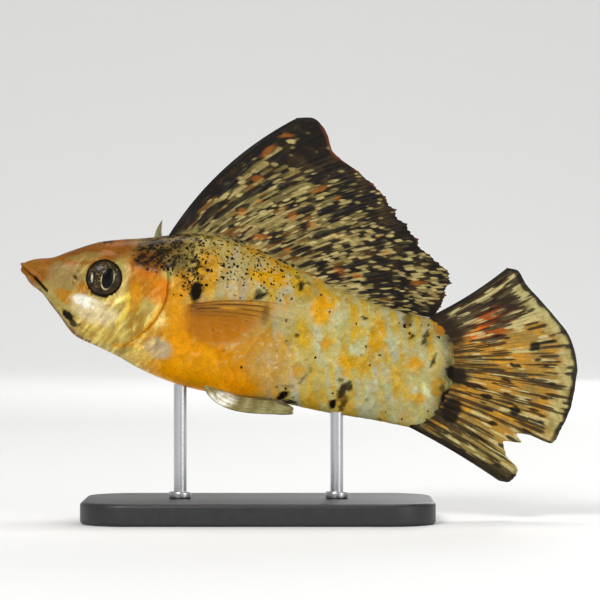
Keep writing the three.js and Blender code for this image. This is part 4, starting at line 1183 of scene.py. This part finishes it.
class Look:
    """A material built round its principled shader, with short ways to add nodes to it."""

    def __init__(self, name, values):
        self.material = bpy.data.materials.new(name)
        self.material.use_nodes = True
        self.tree = self.material.node_tree
        self.shade(values)

    def fill(self, node, values):
        """Gives each named socket of a node its constant, or joins it to another node's output."""
        for socket, value in values.items():
            if isinstance(value, bpy.types.NodeSocket):
                self.tree.links.new(value, node.inputs[socket])
            else:
                node.inputs[socket].default_value = value

    def shade(self, values):
        """Fills sockets of the shader itself."""
        self.fill(self.tree.nodes["Principled BSDF"], values)

    def node(self, kind, values=None, operation=None):
        made = self.tree.nodes.new("ShaderNode" + kind)
        if operation:
            made.operation = operation
        self.fill(made, values or {})
        return made

    def painted(self, name):
        """A value painted on the piece, as a number and as a colour."""
        made = self.node("Attribute")
        made.attribute_name = name
        return made.outputs

    def noise(self, scale, detail=4):
        place = self.node("TexCoord").outputs["Object"]
        return self.node("TexNoise", {"Vector": place, "Scale": scale, "Detail": detail}).outputs

    def ranged(self, value, low, high, from_low=0.0, from_high=1.0):
        limits = {"From Min": from_low, "From Max": from_high, "To Min": low, "To Max": high}
        return self.node("MapRange", {"Value": value, **limits}).outputs["Result"]

    def tinted(self, scale, low=0.86, high=1.14):
        """The piece's painted colour with fine noise over it, and that noise."""
        grain = self.noise(scale)["Fac"]
        level = self.ranged(grain, low, high, 0.3, 0.7)
        times = self.node("VectorMath", {0: self.painted("tint")["Color"], "Scale": level}, "SCALE")
        return times.outputs["Vector"], grain

    def speckled(self, colour, across, radius):
        """Small round black specks, as thick as the speckle attribute says. Across is the size of
        the cells that hold one speck each, and radius is in parts of it."""
        place = self.node("TexCoord").outputs["Object"]
        wobble = self.noise(1.4 / across, 1)["Color"]
        shift = self.node("VectorMath", {0: wobble, 1: [0.9 * across] * 3, 2: place}, "MULTIPLY_ADD")
        cells = self.node("TexVoronoi", {"Vector": shift.outputs["Vector"], "Scale": 1 / across}).outputs
        number = self.node("SeparateColor", {"Color": cells["Color"]}).outputs["Red"]
        there = self.node("Math", {0: number, 1: self.painted("speckle")["Fac"]}, "LESS_THAN")
        near = self.ranged(cells["Distance"], 1, 0, radius * 0.75, radius * 1.15)
        share = self.node("Math", {0: there.outputs["Value"], 1: near}, "MULTIPLY")
        over = self.node("Mix")
        over.data_type = "RGBA"
        self.fill(over, {"Factor": share.outputs["Value"], "A": colour, "B": (*linear(INK), 1)})
        return over.outputs["Result"]

    def bumped(self, height, distance):
        """Fine relief from a noise, which raises the surface by up to that distance."""
        made = self.node("Bump", {"Strength": 0.4, "Distance": distance, "Height": height})
        self.shade({"Normal": made.outputs["Normal"]})


def wet_skin(name, coat, roughness):
    look = Look(name, {"Specular IOR Level": 0.05, "Coat Weight": coat, "Coat Roughness": 0.12})
    colour, grain = look.tinted(2600)
    for across in (0.9 * MM, 0.6 * MM):
        colour = look.speckled(colour, across, 0.33)
    look.shade({
        "Base Color": colour,
        "Metallic": look.ranged(look.painted("pearl")["Fac"], 0.0, 0.5),
        "Roughness": look.ranged(grain, roughness - 0.08, roughness + 0.1),
    })
    look.bumped(grain, 0.0001)
    return look.material


def fin_material(name):
    look = Look(name, {"Roughness": 0.5, "Specular IOR Level": 0.15})
    colour, grain = look.tinted(2200)
    look.shade({"Base Color": colour})
    look.bumped(grain, 0.00008)
    return look.material


def clear_material(name):
    look = Look(name, {"Roughness": 0.42, "Specular IOR Level": 0.2})
    look.shade({"Base Color": look.tinted(2200)[0], "Alpha": look.painted("clear")["Fac"]})
    return look.material


def eye_material():
    look = Look("wet eye", {
        "Roughness": 0.35, "Specular IOR Level": 0.1, "Coat Weight": 0.12, "Coat Roughness": 0.03,
    })
    look.shade({"Base Color": look.tinted(1500, 0.95, 1.05)[0]})
    return look.material


def base_material():
    look = Look("matt black base", {})
    grain = look.noise(900, 6)["Fac"]
    colour = look.node("ValToRGB", {"Fac": grain})
    dark, pale = colour.color_ramp.elements
    dark.color, pale.color = (0.012, 0.012, 0.013, 1), (0.03, 0.03, 0.032, 1)
    look.shade({"Base Color": colour.outputs["Color"], "Roughness": look.ranged(grain, 0.36, 0.5)})
    look.bumped(grain, 0.00006)
    return look.material


def rod_material():
    look = Look("brushed steel", {"Base Color": (0.62, 0.63, 0.65, 1), "Metallic": 1.0})
    place = look.node("TexCoord").outputs["Object"]
    stretch = look.node("Mapping", {"Vector": place, "Scale": (1, 1, 14)})
    rings = look.node("TexNoise", {"Vector": stretch.outputs["Vector"], "Scale": 700}).outputs["Fac"]
    look.shade({"Roughness": look.ranged(rings, 0.22, 0.4)})
    look.bumped(rings, 0.00003)
    return look.material


# Stand

BASE_CORNER, BASE_SOFT = 9 * MM, 0.7 * MM
COLLAR = {"wide": 1.75, "tall": 1.3 * MM, "soft": 0.3 * MM}  # its radius is in parts of the rod's


def finished(made, name, node_names, material):
    """Puts a stand piece's place into its mesh, smooths it and hands it to the frame."""
    bpy.ops.object.select_all(action="DESELECT")
    made.select_set(True)
    bpy.context.view_layer.objects.active = made
    bpy.ops.object.transform_apply(location=True, rotation=True, scale=True)
    bpy.ops.object.shade_smooth_by_angle(angle=math.radians(40))
    made.name = name
    made.data.materials.clear()
    made.data.materials.append(material)
    hand_over(made, node_names)


def upright(step):
    return abs(step.normalized().z) > 0.9


def level(step):
    return abs(step.z) < 1e-6


def bevel(made, wanted, width, segments):
    """Rounds those edges of a mesh whose step from end to end is wanted."""
    mesh = bmesh.new()
    mesh.from_mesh(made.data)
    edges = [e for e in mesh.edges if wanted(e.verts[0].co - e.verts[1].co)]
    bmesh.ops.bevel(mesh, geom=edges, offset=width, segments=segments, profile=0.5, affect="EDGES")
    mesh.to_mesh(made.data)
    mesh.free()


def make_base():
    """The flat base, with rounded corners and softened edges."""
    low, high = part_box("stand_base")
    bpy.ops.object.select_all(action="DESELECT")
    bpy.ops.mesh.primitive_cube_add(size=1, location=(low + high) / 2)
    made = bpy.context.object
    made.scale = high - low
    bpy.ops.object.transform_apply(location=True, rotation=True, scale=True)
    bevel(made, upright, BASE_CORNER, 16)
    bevel(made, level, BASE_SOFT, 5)
    finished(made, "display_base", ["stand_base"], base_material())


def upright_bar(x, y, z, radius, depth):
    """A round bar with its middle at x, y and z."""
    bpy.ops.object.select_all(action="DESELECT")
    bpy.ops.mesh.primitive_cylinder_add(vertices=64, radius=radius, depth=depth, location=(x, y, z))
    return bpy.context.object


def make_rod(node, name):
    """A thin rod up to the belly, with a turned collar where it enters the base."""
    low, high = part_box(node)
    x, y = ((low + high) / 2).xy
    radius = (high.x - low.x) / 2
    top, bottom = high.z + 0.1 * MM, low.z - 0.3 * MM
    material = rod_material()
    rod = upright_bar(x, y, (top + bottom) / 2, radius, top - bottom)
    finished(rod, name, [node], material)
    collar = upright_bar(x, y, bottom + COLLAR["tall"] / 2, radius * COLLAR["wide"], COLLAR["tall"])
    rim = collar.modifiers.new("rim", "BEVEL")
    rim.width, rim.segments, rim.limit_method = COLLAR["soft"], 4, "ANGLE"
    bpy.ops.object.modifier_apply(modifier="rim")
    finished(collar, name + "_collar", [], material)


# Studio

PIXEL = 0.1826  # millimetres of the fish's plane in each pixel of the 600 wide picture
SNOUT_PIXEL = (21, 266)
PICTURE = 600
DISTANCE = 0.6


def make_camera():
    """Square on to the fish's left side, framed as the photograph is."""
    across = SNOUT_X + (PICTURE / 2 - SNOUT_PIXEL[0]) * PIXEL
    up = SNOUT_Z + (SNOUT_PIXEL[1] - PICTURE / 2) * PIXEL
    data = bpy.data.cameras.new("camera")
    data.sensor_width = 36
    data.lens = data.sensor_width * DISTANCE / (PICTURE * PIXEL * MM)
    data.clip_start, data.clip_end = 0.01, 50
    camera = in_scene("camera", data)
    camera.location = (across * MM, -DISTANCE, up * MM)
    camera.rotation_euler = (math.pi / 2, 0, 0)
    bpy.context.scene.camera = camera


def make_light(name, place, size, power, target=(0, 0, 0.04)):
    data = bpy.data.lights.new(name, "AREA")
    data.shape, data.size, data.energy = "DISK", size, power
    light = in_scene(name, data)
    light.location = place
    light.rotation_euler = (Vector(target) - Vector(place)).to_track_quat("-Z", "Y").to_euler()


def make_studio():
    """A pale round floor that curves up into a low wall, soft lights and a pale sky."""
    flat, bend = 1.4, 1.6
    arc = np.linspace(0, math.pi / 2, 24)
    profile = [(0.001, 0)] + [(flat + bend * math.sin(a), bend - bend * math.cos(a)) for a in arc]
    turns = np.arange(96) / 96 * 2 * math.pi
    points = [(r * math.cos(turn), r * math.sin(turn), h) for turn in turns for r, h in profile]
    mesh = bpy.data.meshes.new("studio_floor")
    mesh.from_pydata(points, [], grid_faces(len(turns), len(profile), closed=True)[:, ::-1].tolist())
    mesh.polygons.foreach_set("use_smooth", np.ones(len(mesh.polygons), bool))
    pale = Look("pale floor", {"Base Color": (0.84, 0.84, 0.83, 1), "Roughness": 0.7})
    mesh.materials.append(pale.material)
    in_scene("studio_floor", mesh)
    make_light("key", (-0.35, -0.75, 0.65), 0.35, 6.0)
    make_light("fill", (0.7, -0.6, 0.25), 0.5, 1.8)
    make_light("top", (0.05, 0.25, 0.9), 0.5, 3.5)
    make_light("back", (0.3, 0.9, 0.4), 0.5, 2.0)
    make_light("wall", (0, 0.9, 1.2), 0.9, 14.0, (0, 2.9, 0.5))
    world = bpy.data.worlds.new("pale sky")
    world.use_nodes = True
    sky = world.node_tree.nodes["Background"].inputs
    sky["Color"].default_value, sky["Strength"].default_value = (1, 1, 1, 1), 0.34
    bpy.context.scene.world = world
    bpy.context.scene.view_settings.view_transform = "Standard"


make_camera()
make_studio()
make_skin()
make_scales(LEFT, "scales_left")
make_scales(RIGHT, "scales_right")
make_dorsal()
make_caudal()
make_folded_pectoral()
make_raised_pectoral()
make_pelvic(LEFT, "pelvic_veil_left", "pelvic_fin_left")
make_pelvic(RIGHT, "pelvic_veil_right", "pelvic_fin_right")
make_gonopodium()
make_eye(LEFT, "eyeball_left", "eye_left")
make_eye(RIGHT, "eyeball_right", "eye_right")
make_base()
make_rod("stand_rod_front", "rod_front")
make_rod("stand_rod_rear", "rod_rear")
